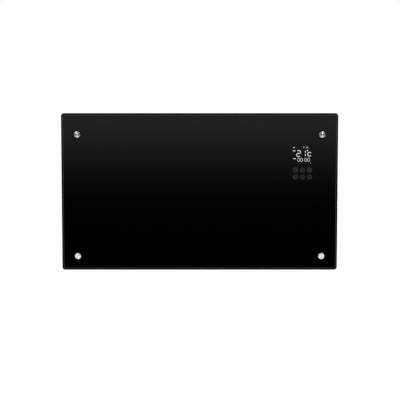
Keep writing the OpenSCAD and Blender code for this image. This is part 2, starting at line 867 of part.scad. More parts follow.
module front_tray() color(black_paint) heater() difference() {
    union() {
        from_wall(tray_back, tray_t) rounded(tray_w, tray_h, tray_r);
        from_wall(tray_front - tray_return, tray_return) difference() {
            rounded(tray_w, tray_h, tray_r);
            rounded(tray_w - 2 * tray_t, tray_h - 2 * tray_t, tray_r - tray_t);
        }
    }
    from_wall(tray_back - cut, tray_t + 2 * cut)
        translate([keys_x, holder_z])
            rounded(holder_w + 2 * window_gap, holder_h + 2 * window_gap, holder_r);
    for (p = cap_points) bar_out(p, tray_back - cut, tray_t + 2 * cut, spigot_r + slip);
    for (p = shell_screw_points()) bar_out(p, tray_back - cut, tray_t + 2 * cut, tapping_hole_r);
    for (p = holder_screw_points()) bar_out(p, tray_back - cut, tray_t + 2 * cut, tapping_hole_r);
}

module tray_nuts() color(zinc) heater()
    for (p = cap_points) difference() {
        union() {
            bar_out(p, tray_back - nut_h, nut_h, nut_r);
            bar_out(p, tray_back - cut, tray_t + cut, spigot_r);
        }
        bar_out(p, tray_back - nut_h - cut, nut_h + tray_t + 2 * cut, glass_screw_d / 2 + slip);
    }

module glass_panel() color(black_glass) heater() difference() {
    hull() {
        from_wall(glass_back + arris, glass_t - 2 * arris) rounded(glass_w, glass_h, glass_r);
        from_wall(glass_back, glass_t)
            rounded(glass_w - 2 * arris, glass_h - 2 * arris, max(glass_r - arris, least_r));
    }
    for (p = cap_points) bar_out(p, glass_back - cut, glass_t + 2 * cut, glass_hole_r);
}

module glass_pads() color(silicone) heater() {
    for (p = cap_points) difference() {
        bar_out(p, tray_front, pad_t, pad_r);
        bar_out(p, tray_front - cut, pad_t + 2 * cut, sleeve_r);
    }
    for (sx = [-1, 1], sz = [-1, 1])
        block([sx * spare_pad_x, sz * spare_pad_z], tray_front, [spare_pad, pad_t, spare_pad]);
}

module glass_screws() color(zinc) heater()
    for (p = cap_points) {
        bar_out(p, tray_back - nut_h, glass_front + washer_t - tray_back + nut_h + cut / 10,
            glass_screw_d / 2);
        bar_out(p, glass_front + washer_t, glass_head_h, glass_head_r);
    }

module cap_washers() color(silicone) heater()
    for (p = cap_points) difference() {
        union() {
            bar_out(p, glass_front, washer_t, washer_r);
            bar_out(p, glass_back + easy, glass_t, sleeve_r);
        }
        bar_out(p, glass_back - cut, glass_t + washer_t + 2 * cut, glass_screw_d / 2 + easy);
    }

// A cap is a turned cup with a bevelled face
module glass_caps() color(bright_metal) heater()
    for (p = cap_points)
        translate([p[0], -glass_front, p[1]]) rotate([90, 0, 0]) rotate_extrude($fn = fine_fn)
            polygon([[0, cap_h], [cap_d / 2 - cap_bevel, cap_h], [cap_d / 2, cap_h - cap_bevel],
                [cap_d / 2, 0], [cap_d / 2 - cap_wall, 0],
                [cap_d / 2 - cap_wall, cap_h - cap_face_t], [0, cap_h - cap_face_t]]);

// Section of the finned extrusion: a bored core with four arms and cross fins
module element_section() difference() {
    union() {
        circle(r = core_r, $fn = round_fn);
        for (a = [arm_angle, 180 - arm_angle, 180 + arm_angle, -arm_angle]) rotate(a) {
            translate([0, -arm_t / 2]) square([arm_l, arm_t]);
            translate([arm_l, 0]) circle(r = arm_t * 0.75, $fn = round_fn);
            for (i = [0 : fin_n - 1])
                translate([first_fin + i * fin_step - fin_t / 2, -fin_l / 2]) square([fin_t, fin_l]);
        }
    }
    circle(r = sheath_d / 2 + slip, $fn = round_fn);
}

module heating_element() color(aluminium) heater()
    along_x(element_x0, element_l) translate([element_d, element_z]) element_section();

module element_sheath() color(zinc) heater()
    bar_x(element_x0 - sheath_out, element_l + 2 * sheath_out, element_d, element_z, sheath_d / 2);

// Repeats what is drawn for an end of the element, mirrored, at both ends
module at_element_ends() {
    translate([element_x1 + sheath_out, -element_d, element_z]) rotate([0, 90, 0]) children();
    translate([element_x0 - sheath_out, -element_d, element_z]) rotate([0, -90, 0]) children();
}

module terminal_insulators() color(ceramic) heater() at_element_ends() difference() {
    cylinder(r = bead_r, h = bead_l, $fn = round_fn);
    translate([0, 0, -cut]) cylinder(r = stud_r + easy, h = bead_l + 2 * cut, $fn = round_fn);
}

module terminal_studs() color(zinc) heater() at_element_ends() {
    cylinder(r = stud_r, h = stud_l, $fn = round_fn);
    translate([-tab_w / 2, -tab_t / 2, bead_l + stud_bare])
        cube([tab_w, tab_t, stud_l - bead_l - stud_bare]);
}

// A grooved silicone bush that grips the end plate
module bush(x) translate([x, -element_d, element_z]) rotate([0, 90, 0])
    rotate_extrude($fn = fine_fn) {
        bore = sheath_d / 2 + easy;
        half = end_plate_t / 2 + easy;
        polygon([[bore, -half - bush_flange_t], [bush_flange_r, -half - bush_flange_t],
            [bush_flange_r, -half], [bush_r, -half], [bush_r, half], [bush_flange_r, half],
            [bush_flange_r, half + bush_flange_t], [bore, half + bush_flange_t]]);
    }

module element_bushes() color(silicone) heater() {
    bush(element_x0 - end_plate_gap - end_plate_t / 2);
    bush(element_x1 + end_plate_gap + end_plate_t / 2);
}

// An end plate with its foot on the back wall. side is 1 at the right and -1 at the left.
module end_bracket(side) {
    near = side > 0 ? element_x1 + end_plate_gap : element_x0 - end_plate_gap;
    difference() {
        union() {
            along_x(side > 0 ? near : near - end_plate_t, end_plate_t) difference() {
                translate([shell_inside, element_z - end_plate_h / 2])
                    square([end_plate_front - shell_inside, end_plate_h]);
                for (s = [-1, 1])
                    translate([end_plate_front, element_z + s * end_plate_h / 2])
                        rotate(45) square(end_plate_corner, center = true);
            }
            from_wall(shell_inside, end_plate_t)
                translate([side > 0 ? near : near - foot_l, element_z - end_plate_h / 2])
                    square([foot_l, end_plate_h]);
        }
        bar_x(near - 2 * end_plate_t, 4 * end_plate_t, element_d, element_z, bush_r + slip);
        for (s = [-1, 1])
            bar_out([near + side * foot_l / 2, element_z + s * foot_screw_z],
                shell_inside - cut, end_plate_t + 2 * cut, tapping_r + slip);
    }
}

module element_bracket_left() color(zinc) heater() end_bracket(-1);
module element_bracket_right() color(zinc) heater() end_bracket(1);

module heat_shield() color(zinc) heater()
    along_x(element_x0, element_l) {
        for (z = [shield_low, shield_high - shield_flange])
            translate([tray_back - shield_t, z]) square([shield_t, shield_flange]);
        for (z = [shield_low + shield_flange - shield_t, shield_high - shield_flange])
            translate([shield_d, z]) square([tray_back - shield_d, shield_t]);
        translate([shield_d, shield_low + shield_flange - shield_t])
            square([shield_t, shield_high - shield_low - 2 * shield_flange + 2 * shield_t]);
    }

module cutout_bracket() color(zinc) heater() difference() {
    along_x(element_mid - cutout_w / 2, cutout_w) {
        translate([shell_inside, cutout_z]) square([end_plate_t, cutout_foot_h]);
        translate([shell_inside, cutout_z]) square([cutout_reach - shell_inside, end_plate_t]);
    }
    bar_out([element_mid, cutout_z + cutout_foot_h / 2], shell_inside - cut, end_plate_t + 2 * cut,
        tapping_r + slip);
}

module thermal_cutout() color(ceramic) heater()
    translate([element_mid, -element_d, cutout_z + end_plate_t]) {
        cylinder(r = cutout_r, h = cutout_cup_h, $fn = round_fn);
        cylinder(r = cutout_body_r, h = cutout_cup_h + cutout_body_h, $fn = round_fn);
        for (s = [-1, 1])
            translate([s * cutout_tab_x - tab_t / 2, -tab_w / 2, cutout_cup_h + cutout_body_h - cut])
                cube([tab_t, tab_w, tab_l + cut]);
    }

module fuse_clip() color(zinc) heater() difference() {
    translate([element_mid - clip_l / 2, -fuse_d - clip_w / 2, cutout_z + end_plate_t])
        cube([clip_l, clip_w, clip_h]);
    bar_x(element_mid - clip_l, 2 * clip_l, fuse_d, cutout_z + end_plate_t + fuse_up, fuse_r + slip);
}

module thermal_fuse() color(bright_metal) heater() {
    bar_x(element_mid - fuse_l / 2, fuse_l, fuse_d, cutout_z + end_plate_t + fuse_up, fuse_r);
    bar_x(element_mid - fuse_l / 2 - fuse_lead_l, fuse_l + 2 * fuse_lead_l, fuse_d,
        cutout_z + end_plate_t + fuse_up, fuse_lead_r);
}

module back_screws() color(zinc) heater() {
    for (p = foot_screw_points())
        pan_screw(p, stand_off, tapping_l, tapping_r, tapping_head_r, tapping_head_h);
    for (p = box_bosses)
        pan_screw(p, stand_off, tapping_l, boss_hole_r, tapping_head_r, tapping_head_h);
}

module control_box() color(black_plastic) heater() difference() {
    union() {
        difference() {
            from_wall(box_back, box_depth) translate([box_x, box_z]) rounded(box_w, box_h, box_r);
            from_wall(box_floor, box_depth)
                translate([box_x, box_z])
                    rounded(box_w - 2 * box_t, box_h - 2 * box_t, max(box_r - box_t, least_r));
        }
        for (p = box_bosses) bar_out(p, shell_inside, board_back - shell_inside, boss_r);
    }
    for (p = box_bosses) bar_out(p, shell_inside - cut, far, boss_hole_r + slip);
    from_wall(box_floor + box_mouth_up, box_depth)
        translate([box_x, box_bottom_z]) square([block_w, box_mouth_h], center = true);
}

module box_lid() color(black_plastic) heater()
    from_wall(box_front, box_t) translate([box_x, box_z]) difference() {
        rounded(box_w, box_h, box_r);
        translate([ribbon_x - box_x, ribbon_z - box_z]) square([plug_w, plug_h], center = true);
    }

module power_board() color(board_green) heater() difference() {
    block([box_x, box_z], board_back, [board_w, board_t, board_h]);
    for (p = box_bosses) bar_out(p, board_back - cut, board_t + 2 * cut, board_screw_r + easy);
}

module relays() color(relay_blue) heater()
    for (s = [-1, 1])
        block([box_x + s * relay_x, relay_z], board_front, [relay_w, relay_deep, relay_h]);

// An iron core round a taped coil
module transformer() color(tape_yellow) heater() {
    block([box_x + transformer_x, transformer_z], board_front,
        [transformer_w, transformer_deep, yoke_h]);
    block([box_x + transformer_x, transformer_z], board_front, [coil_w, coil_deep, transformer_h]);
}

module capacitors() color(dark_sleeve) heater()
    for (s = [-1, 1])
        bar_out([box_x + capacitor_x, transformer_z + s * capacitor_pitch / 2], board_front,
            capacitor_l, capacitor_r);

module terminal_block() color(white_plastic) heater() difference() {
    block([box_x, block_z], board_front, [block_w, block_deep, block_h]);
    for (i = [0 : block_ways - 1])
        translate([box_x + (i - (block_ways - 1) / 2) * block_w / block_ways, 0, 0]) {
            translate([0, -board_front - block_deep / 2, block_z - block_h / 2 - cut])
                cylinder(r = block_entry_r, h = block_entry_l, $fn = round_fn);
            bar_out([0, block_z], board_front + block_deep - block_clamp_l, block_clamp_l + cut,
                block_clamp_r);
        }
}

module board_screws() color(zinc) heater() {
    for (p = box_bosses) {
        bar_out(p, board_front - board_screw_l, board_screw_l + cut / 10, board_screw_r);
        bar_out(p, board_front, board_head_h, board_head_r);
    }
    for (p = post_points)
        pan_screw(p, display_back, board_screw_l, board_screw_r, board_head_r, board_head_h);
}

function holder_screw_points() =
    [for (sx = [-1, 1], sz = [-1, 1])
        [keys_x + sx * (holder_w / 2 + holder_tab / 2), holder_z + sz * holder_screw_z]];

module display_holder() color(black_plastic) heater() difference() {
    union() {
        from_wall(holder_back, holder_front - holder_back)
            translate([keys_x, holder_z]) rounded(holder_w, holder_h, holder_r);
        from_wall(tray_back - holder_tab_t, holder_tab_t)
            translate([keys_x, holder_z])
                rounded(holder_w + 2 * holder_tab, holder_h, holder_r);
    }
    difference() {
        from_wall(holder_back - cut, holder_front - holder_back + 2 * cut)
            translate([keys_x, holder_z])
                rounded(holder_w - 2 * holder_wall, holder_h - 2 * holder_wall, holder_r - holder_wall);
        for (p = post_points) bar_out(p, display_face, holder_front - display_face - cut / 2, post_r);
    }
    for (p = post_points)
        bar_out(p, display_face - cut, board_screw_l - board_t + 2 * cut, board_screw_r + slip);
    for (p = holder_screw_points())
        bar_out(p, tray_back - holder_tab_t - cut, holder_tab_t + 2 * cut, tapping_hole_r);
}

module display_board() color(board_green) heater() difference() {
    from_wall(display_back, board_t) translate([keys_x, holder_z])
        rounded(holder_w - 2 * holder_wall - 2 * loose, holder_h - 2 * holder_wall - 2 * loose,
            holder_r - holder_wall);
    for (p = post_points) bar_out(p, display_back - cut, board_t + 2 * cut, board_screw_r + easy);
}

module digit_module() color(dark_sleeve) heater()
    block([keys_x, upper_keys_z + digits_above_keys], display_face, [digits_w, module_deep, digits_h]);

module touch_springs() color(brass) heater()
    for (i = [-1, 0, 1], z = [upper_keys_z, lower_keys_z])
        difference() {
            bar_out([keys_x + i * key_pitch, z], display_face, glass_back - display_face - spring_gap,
                spring_d / 2);
            bar_out([keys_x + i * key_pitch, z], display_face - cut, glass_back - display_face + cut,
                spring_d / 2 - spring_wall);
        }

module display_gasket() color(silicone) heater()
    from_wall(holder_front, gasket_t) translate([keys_x, holder_z]) difference() {
        rounded(holder_w, holder_h, holder_r);
        rounded(holder_w - 2 * holder_wall, holder_h - 2 * holder_wall, holder_r - holder_wall);
    }

module display_screws() color(zinc) heater()
    for (p = holder_screw_points())
        pan_screw(p, tray_back - holder_tab_t, holder_screw_l, tapping_r, tapping_head_r, tapping_head_h);

module ribbon_cable() color(ribbon_grey) heater() {
    for (depth = [board_front, display_back - plug_deep])
        block([ribbon_x, ribbon_z], depth, [plug_w - 2 * loose, plug_deep, plug_h - 2 * loose]);
    block([ribbon_x, ribbon_z], board_front + plug_deep - cut,
        [ribbon_w, display_back - board_front - 2 * plug_deep + 2 * cut, ribbon_t]);
}

module sensor_clip() color(white_plastic) heater() difference() {
    translate([sensor_x - sensor_clip_w / 2, -shell_mid - sensor_clip_w / 2, shell_bottom + shell_t])
        cube([sensor_clip_w, sensor_clip_w, sensor_up + cut]);
    bar_out([sensor_x, shell_bottom + shell_t + sensor_up], shell_mid - far / 2, far, sensor_r + slip);
}

module room_sensor() color(dark_sleeve) heater()
    bar_out([sensor_x, shell_bottom + shell_t + sensor_up], shell_mid - sensor_l / 2, sensor_l, sensor_r);

// Housing of the rocker switch, with its bezel on the outside of the shell
module switch_housing() color(black_plastic) heater() difference() {
    union() {
        along_x(switch_x, bezel_t) translate([shell_mid, switch_z])
            rounded(switch_well_w + 2 * switch_wall + 2 * bezel_edge,
                switch_well_l + 2 * switch_end_wall + 2 * bezel_edge, bezel_r);
        along_x(switch_x - switch_depth, switch_depth + bezel_t / 2)
            translate([shell_mid, switch_z])
                square([switch_well_w + 2 * switch_wall, switch_well_l + 2 * switch_end_wall],
                    center = true);
    }
    along_x(well_floor, far) translate([shell_mid, switch_z])
        square([switch_well_w, switch_well_l], center = true);
    bar_out([pivot_x, switch_z], shell_mid - far / 2, far, pin_d / 2 + slip);
}

// Side view of the level rocker about its pin: two faces that rise to round ends
module rocker_section() difference() {
    circle(r = rocker_r, $fn = fine_fn);
    polygon([[rocker_rise, 0], [rocker_rise + far * tan(rocker_tilt), far], [far, far],
        [far, -far], [rocker_rise + far * tan(rocker_tilt), -far]]);
    translate([-far - rocker_under, -far / 2]) square([far, far]);
}

module switch_rocker() color(black_plastic) heater() {
    from_wall(shell_mid - rocker_w / 2, rocker_w)
        translate([pivot_x, switch_z]) rotate(rocker_tilt) rocker_section();
    bar_out([pivot_x, switch_z], shell_mid - rocker_w / 2 - pin_l, rocker_w + 2 * pin_l, pin_d / 2);
}

module switch_tabs() color(zinc) heater()
    for (sd = [-1, 1], sz = [-1, 1])
        translate([switch_x - switch_depth - tab_l, -shell_mid + sd * switch_tab_d - tab_t / 2,
            switch_z + sz * switch_tab_z - tab_w / 2]) cube([tab_l, tab_t, tab_w]);

module cable_gland() color(black_plastic) heater()
    translate([gland_x, -shell_mid, shell_bottom]) difference() {
        union() {
            translate([0, 0, -gland_flange_t])
                cylinder(r = gland_hex_r, h = gland_flange_t, $fn = 6);
            translate([0, 0, -gland_flange_t - gland_barrel_l])
                cylinder(r = gland_barrel_r, h = gland_barrel_l + cut, $fn = round_fn);
            translate([0, 0, -gland_flange_t - gland_dome_h])
                cylinder(r1 = gland_tip_r, r2 = gland_barrel_r, h = gland_dome_h - gland_barrel_l,
                    $fn = round_fn);
            translate([0, 0, -cut]) cylinder(r = gland_r, h = shell_t + gland_thread_l + cut, $fn = round_fn);
        }
        translate([0, 0, -far / 2]) cylinder(r = gland_bore_d / 2, h = far, $fn = round_fn);
        for (i = [1 : flute_n])
            rotate(360 * i / flute_n)
                translate([gland_barrel_r + flute_r / 2, 0, -gland_flange_t - gland_dome_h])
                    cylinder(r = flute_r, h = gland_dome_h - cut, $fn = slot_fn);
    }

module gland_nut() color(black_plastic) heater()
    translate([gland_x, -shell_mid, shell_bottom + shell_t]) difference() {
        cylinder(r = gland_hex_r, h = gland_nut_h, $fn = 6);
        translate([0, 0, -cut]) cylinder(r = gland_r + slip, h = gland_nut_h + 2 * cut, $fn = round_fn);
    }

module earth_stud() color(brass) heater() {
    bar_out([earth_x, earth_z], stand_off - earth_head_h / 2, earth_l, earth_r);
    bar_out([earth_x, earth_z], stand_off - earth_head_h, earth_head_h, earth_head_r);
    translate([earth_x, -shell_inside, earth_z]) rotate([90, 0, 0])
        cylinder(r = earth_nut_r, h = earth_nut_h, $fn = 6);
}

function unit(v) = v / norm(v);

// A direction that no lead starts in
any_way = [0.3, 0.5, 0.8];

// The route in space, with each corner taken round by a bend
function bent(p) = concat([p[0]],
    [for (i = [1 : len(p) - 2]) let (a = unit(p[i] - p[i - 1]), b = unit(p[i + 1] - p[i]))
        for (k = [0 : bend_steps]) let (t = quarter * k / bend_steps)
            p[i] + lead_bend * (b * (1 - cos(t)) - a * (1 - sin(t)))],
    [p[len(p) - 1]]);
function heading(p, i) = unit(p[min(i + 1, len(p) - 1)] - p[max(i - 1, 0)]);
// A direction across the lead at point i, carried on from the point before
function side_of(p, i) = let (t = heading(p, i), v = i == 0 ? any_way : side_of(p, i - 1))
    unit(v - (v * t) * t);

// A round lead swept along a route
module lead(route, r) {
    p = bent([for (c = route) [c[0], -c[1], c[2]]]);
    n = lead_sides;
    points = [for (i = [0 : len(p) - 1]) let (t = heading(p, i), u = side_of(p, i), v = cross(t, u))
        for (j = [0 : n - 1]) p[i] + r * (cos(360 * j / n) * u + sin(360 * j / n) * v)];
    walls = [for (i = [0 : len(p) - 2], j = [0 : n - 1]) let (a = i * n + j, b = i * n + (j + 1) % n)
        each [[a, a + n, b + n], [a, b + n, b]]];
    ends = [[for (j = [0 : n - 1]) j], [for (j = [n - 1 : -1 : 0]) (len(p) - 1) * n + j]];
    polyhedron(points, concat(walls, ends));
}

module switch_leads() color(lead_brown) heater() for (route = switch_routes) lead(route, lead_r);
module element_leads() color(lead_pale) heater() for (route = element_routes) lead(route, lead_r);
module sensor_lead() color(dark_sleeve) heater() for (route = sensor_routes) lead(route, sensor_lead_r);

wall_bracket();
rear_shell();
shell_screws();
outlet_grille();
grille_screws();
wall_bumpers();
foot_nuts();
front_tray();
tray_nuts();
glass_panel();
glass_pads();
glass_screws();
cap_washers();
glass_caps();
heating_element();
element_sheath();
terminal_insulators();
terminal_studs();
element_bushes();
element_bracket_left();
element_bracket_right();
heat_shield();
cutout_bracket();
thermal_cutout();
thermal_fuse();
fuse_clip();
back_screws();
control_box();
box_lid();
power_board();
relays();
transformer();
capacitors();
terminal_block();
board_screws();
display_holder();
display_board();
digit_module();
touch_springs();
display_gasket();
display_screws();
ribbon_cable();
room_sensor();
sensor_clip();
switch_housing();
switch_rocker();
switch_tabs();
cable_gland();
gland_nut();
earth_stud();
switch_leads();
element_leads();
sensor_lead();
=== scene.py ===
"""Glass convector heater: finishes, caps, display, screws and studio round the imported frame.

Laid out as an add-on and run once as a script. Every length is in metres, in the frame of the
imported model: +X is right, +Z is up and the glass faces -Y.
"""

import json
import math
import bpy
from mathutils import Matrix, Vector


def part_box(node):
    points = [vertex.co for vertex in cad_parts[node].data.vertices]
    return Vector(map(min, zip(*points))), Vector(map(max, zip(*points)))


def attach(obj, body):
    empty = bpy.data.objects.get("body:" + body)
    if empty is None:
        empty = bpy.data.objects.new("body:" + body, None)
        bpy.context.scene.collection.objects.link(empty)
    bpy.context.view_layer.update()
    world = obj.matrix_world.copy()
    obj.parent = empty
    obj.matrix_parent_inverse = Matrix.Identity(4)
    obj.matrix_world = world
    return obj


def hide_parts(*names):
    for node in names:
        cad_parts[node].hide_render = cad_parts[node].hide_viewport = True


bl_info = {
    "name": "Glass convector heater",
    "version": (1, 0, 0),
    "blender": (4, 5, 0),
    "location": "3D View > Sidebar > Heater",
    "description": "Finishes, caps, display, screws and studio of a wall-hung glass heater",
    "category": "Object",
}

import bmesh
import bpy
from bpy.props import FloatProperty, FloatVectorProperty, PointerProperty
from mathutils import Matrix, Vector

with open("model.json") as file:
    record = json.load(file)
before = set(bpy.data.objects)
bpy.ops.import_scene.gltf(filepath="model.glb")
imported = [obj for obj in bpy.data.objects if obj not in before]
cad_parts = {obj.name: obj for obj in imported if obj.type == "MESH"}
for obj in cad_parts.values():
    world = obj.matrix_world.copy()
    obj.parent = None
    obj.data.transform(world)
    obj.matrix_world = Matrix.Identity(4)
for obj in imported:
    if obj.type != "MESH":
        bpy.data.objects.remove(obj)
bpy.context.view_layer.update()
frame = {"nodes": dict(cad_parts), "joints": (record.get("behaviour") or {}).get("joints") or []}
NODES = frame["nodes"]
MM = 0.001
GLASS_LOW, GLASS_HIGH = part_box("glass_panel")
GLASS_FACE = GLASS_LOW.y


def linear(hex_colour):
    """An sRGB hex colour as linear red, green, blue and alpha."""
    channels = [int(hex_colour[i:i + 2], 16) / 255 for i in (1, 3, 5)]
    return tuple(c / 12.92 if c <= 0.04045 else ((c + 0.055) / 1.055) ** 2.4
                 for c in channels) + (1.0,)


# Shapes


def solids(node):
    """The lowest and highest corner of each separate solid in a node, from the bottom up."""
    bm = bmesh.new()
    bm.from_mesh(NODES[node].data)
    bmesh.ops.remove_doubles(bm, verts=bm.verts, dist=1e-6)
    seen, boxes = set(), []
    for start in bm.verts:
        if start in seen:
            continue
        seen.add(start)
        queue, points = [start], []
        while queue:
            vert = queue.pop()
            points.append(vert.co.copy())
            for edge in vert.link_edges:
                other = edge.other_vert(vert)
                if other not in seen:
                    seen.add(other)
                    queue.append(other)
        boxes.append((Vector(map(min, zip(*points))), Vector(map(max, zip(*points)))))
    bm.free()
    return sorted(boxes, key=lambda b: (round(b[0].z, 4), round(b[0].x, 4)))


def finish_piece(name, bm, material, body, smooth=30):
    """Turns a bmesh into a named piece with smooth faces between sharp edges, on its body."""
    bmesh.ops.recalc_face_normals(bm, faces=bm.faces)
    mesh = bpy.data.meshes.new(name)
    bm.to_mesh(mesh)
    bm.free()
    mesh.polygons.foreach_set("use_smooth", [True] * len(mesh.polygons))
    mesh.set_sharp_from_angle(angle=math.radians(smooth))
    mesh.materials.append(material)
    piece = bpy.data.objects.new(name, mesh)
    bpy.context.scene.collection.objects.link(piece)
    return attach(piece, body)


def lathe(bm, profile, place=Matrix.Identity(4), steps=64):
    """Turns a profile of (radius, height) pairs round Z. A radius of 0 closes an end."""
    rings = []
    for radius, height in profile:
        if radius == 0:
            rings.append([bm.verts.new(place @ Vector((0, 0, height)))])
            continue
        rings.append([bm.verts.new(place @ Vector((
            radius * math.cos(math.tau * k / steps), radius * math.sin(math.tau * k / steps),
            height))) for k in range(steps)])
    for low, high in zip(rings, rings[1:]):
        for k in range(steps):
            corners = [low[k % len(low)], low[(k + 1) % steps % len(low)],
                       high[(k + 1) % steps % len(high)], high[k % len(high)]]
            bm.faces.new(list(dict.fromkeys(corners)))
    return bm


def rounded_path(corners, radius, steps=6):
    """A path of (x, z) corners with each inner corner taken round by an arc."""
    points = [Vector(corners[0])]
    for before, corner, after in zip(corners, corners[1:], corners[2:]):
        corner = Vector(corner)
        come, go = (Vector(before) - corner).normalized(), (Vector(after) - corner).normalized()
        for k in range(steps + 1):
            t = k / steps
            # A quadratic bend is within a hundredth of a millimetre of the arc at this size
            a, b = corner + come * radius * (1 - t), corner + go * radius * t
            points.append(a.lerp(b, t))
    return points + [Vector(corners[-1])]


def oval_path(centre, half_width, half_height, start=0, end=360, steps=40):
    """Points on an oval from one angle to another, in degrees from +X towards +Z."""
    whole = end - start == 360
    return [Vector((centre[0] + half_width * math.cos(math.radians(a)),
                    centre[1] + half_height * math.sin(math.radians(a))))
            for a in [start + (end - start) * k / steps for k in range(steps + (not whole))]]


def stroke(bm, path, width, closed=False, cap_steps=8):
    """A flat stroke of that width along a path, with round ends unless it closes on itself."""
    left, right, n = [], [], len(path)
    for i, point in enumerate(path):
        before = path[i - 1] if closed or i else point
        after = path[(i + 1) % n] if closed or i < n - 1 else point
        along = (after - before).normalized()
        across = Vector((-along.y, along.x)) * width / 2
        left.append(bm.verts.new((point.x + across.x, 0, point.y + across.y)))
        right.append(bm.verts.new((point.x - across.x, 0, point.y - across.y)))
        if not closed and i in (0, n - 1):
            turn = 1 if i == 0 else -1
            ends = []
            for k in range(1, cap_steps):
                a = math.pi * k / cap_steps * turn
                tip = Matrix.Rotation(a, 2) @ across
                ends.append(bm.verts.new((point.x + tip.x, 0, point.y + tip.y)))
            bm.faces.new([left[-1]] + ends + [right[-1]])
    for i in range(n if closed else n - 1):
        j = (i + 1) % n
        bm.faces.new([left[i], left[j], right[j], right[i]])


def line(bm, start, end, width):
    """A straight stroke between two (x, z) points."""
    stroke(bm, [Vector(start), Vector(end)], width)


def filled(bm, outline):
    """A flat face inside an outline of (x, z) points."""
    bm.faces.new([bm.verts.new((p[0], 0, p[1])) for p in outline])


def plus_outline(centre, reach, half_width):
    """The outline of a plus with round ends, each arm's end centred at that reach."""
    arm = oval_path((reach, 0), half_width, half_width, -90, 90, steps=8)
    arm.append(Vector((half_width, half_width)))
    turns = [Matrix.Rotation(math.pi / 2 * k, 2) for k in range(4)]
    return [Vector(centre) + turn @ point for turn in turns for point in arm]


def plate(name, bm, material, body, origin, thick, turn=Matrix.Identity(4)):
    """Gives the flat faces of a bmesh a thickness towards -Y and sets them at a place."""
    made = bmesh.ops.extrude_face_region(bm, geom=bm.faces[:])["geom"]
    moved = [v for v in made if isinstance(v, bmesh.types.BMVert)]
    bmesh.ops.translate(bm, verts=moved, vec=(0, -thick, 0))
    bmesh.ops.transform(bm, matrix=Matrix.Translation(origin) @ turn, verts=bm.verts)
    return finish_piece(name, bm, material, body)


# Materials


def add_node(tree, kind, settings=None, links=None):
    """Adds a node, sets its sockets and attributes by name, and links inputs to (node, output)."""
    node = tree.nodes.new(kind)
    for name, value in (settings or {}).items():
        if isinstance(name, int) or name in node.inputs:
            node.inputs[name].default_value = value
        else:
            setattr(node, name, value)
    for name, (source, output) in (links or {}).items():
        tree.links.new(source.outputs[output], node.inputs[name])
    return node


def new_material(name, sockets):
    """A material with its Principled shader set, as its node tree and its shader."""
    material = bpy.data.materials.new(name)
    material.use_nodes = True
    shader = material.node_tree.nodes["Principled BSDF"]
    for socket, value in sockets.items():
        shader.inputs[socket].default_value = value
    return material, material.node_tree, shader


def grained(name, shades, rough, grain, relief, stretch=(1, 1, 1), blotch=60 * MM, sockets=None):
    """A surface whose colour wanders between two shades over blotches, and whose roughness and
    relief follow a finer grain. A shade is a hex colour or a linear one with its alpha. Stretch
    draws the grain out along an axis, as brushing does."""
    material, tree, shader = new_material(name, sockets or {})
    low, high = (linear(s) if isinstance(s, str) else s for s in shades)
    place = add_node(tree, "ShaderNodeTexCoord")
    wide = add_node(tree, "ShaderNodeTexNoise", {"Scale": 1 / blotch, "Detail": 2.0},
                    {"Vector": (place, "Object")})
    tint = add_node(tree, "ShaderNodeMix", {"data_type": "RGBA", 6: low, 7: high}, {0: (wide, 0)})
    drawn = add_node(tree, "ShaderNodeMapping", {"Scale": stretch}, {"Vector": (place, "Object")})
    fine = add_node(tree, "ShaderNodeTexNoise", {"Scale": 1 / grain, "Detail": 3.0},
                    {"Vector": (drawn, 0)})
    sheen = add_node(tree, "ShaderNodeMapRange", {"To Min": rough[0], "To Max": rough[1]},
                     {"Value": (fine, 0)})
    bump = add_node(tree, "ShaderNodeBump", {"Distance": relief}, {"Height": (fine, 0)})
    for source, output, socket in ((tint, 2, "Base Color"), (sheen, 0, "Roughness"),
                                   (bump, 0, "Normal")):
        tree.links.new(source.outputs[output], shader.inputs[socket])
    return material


def black_glass(colour):
    """Toughened float glass, enamelled black behind. The face is mirror-smooth and deep, with
    the slight waviness that the tempering rollers leave; the ground edge is greyer and dull."""
    material, tree, shader = new_material("toughened_black_glass", {"IOR": 1.52})
    place = add_node(tree, "ShaderNodeTexCoord")
    # Roller waves are about 150 mm apart and a few thousandths of a millimetre high
    waves = add_node(tree, "ShaderNodeTexNoise", {"Scale": 1 / (150 * MM), "Detail": 0.0},
                     {"Vector": (place, "Object")})
    bump = add_node(tree, "ShaderNodeBump", {"Distance": 0.004 * MM},
                    {"Height": (waves, 0), "Normal": (place, "Normal")})
    # The face looks along Y, and the ground edge doesn't
    facing = add_node(tree, "ShaderNodeSeparateXYZ", {}, {"Vector": (place, "Normal")})
    level = add_node(tree, "ShaderNodeMath", {"operation": "ABSOLUTE"}, {0: (facing, "Y")})
    ground = add_node(tree, "ShaderNodeMapRange",
                      {"From Min": 0.97, "From Max": 0.9, "To Min": 0.0, "To Max": 1.0},
                      {"Value": (level, 0)})
    dust = add_node(tree, "ShaderNodeTexNoise", {"Scale": 1 / (3 * MM), "Detail": 2.0},
                    {"Vector": (place, "Object")})
    smooth = add_node(tree, "ShaderNodeMapRange", {"To Min": 0.015, "To Max": 0.035},
                      {"Value": (dust, 0)})
    rough = add_node(tree, "ShaderNodeMix", {"data_type": "FLOAT", 3: 0.3},
                     {0: (ground, 0), 2: (smooth, 0)})
    tint = add_node(tree, "ShaderNodeMix",
                    {"data_type": "RGBA", 6: colour, 7: linear("#0c0f0e")}, {0: (ground, 0)})
    tree.links.new(tint.outputs[2], shader.inputs["Base Color"])
    tree.links.new(rough.outputs[0], shader.inputs["Roughness"])
    tree.links.new(bump.outputs[0], shader.inputs["Normal"])
    return material


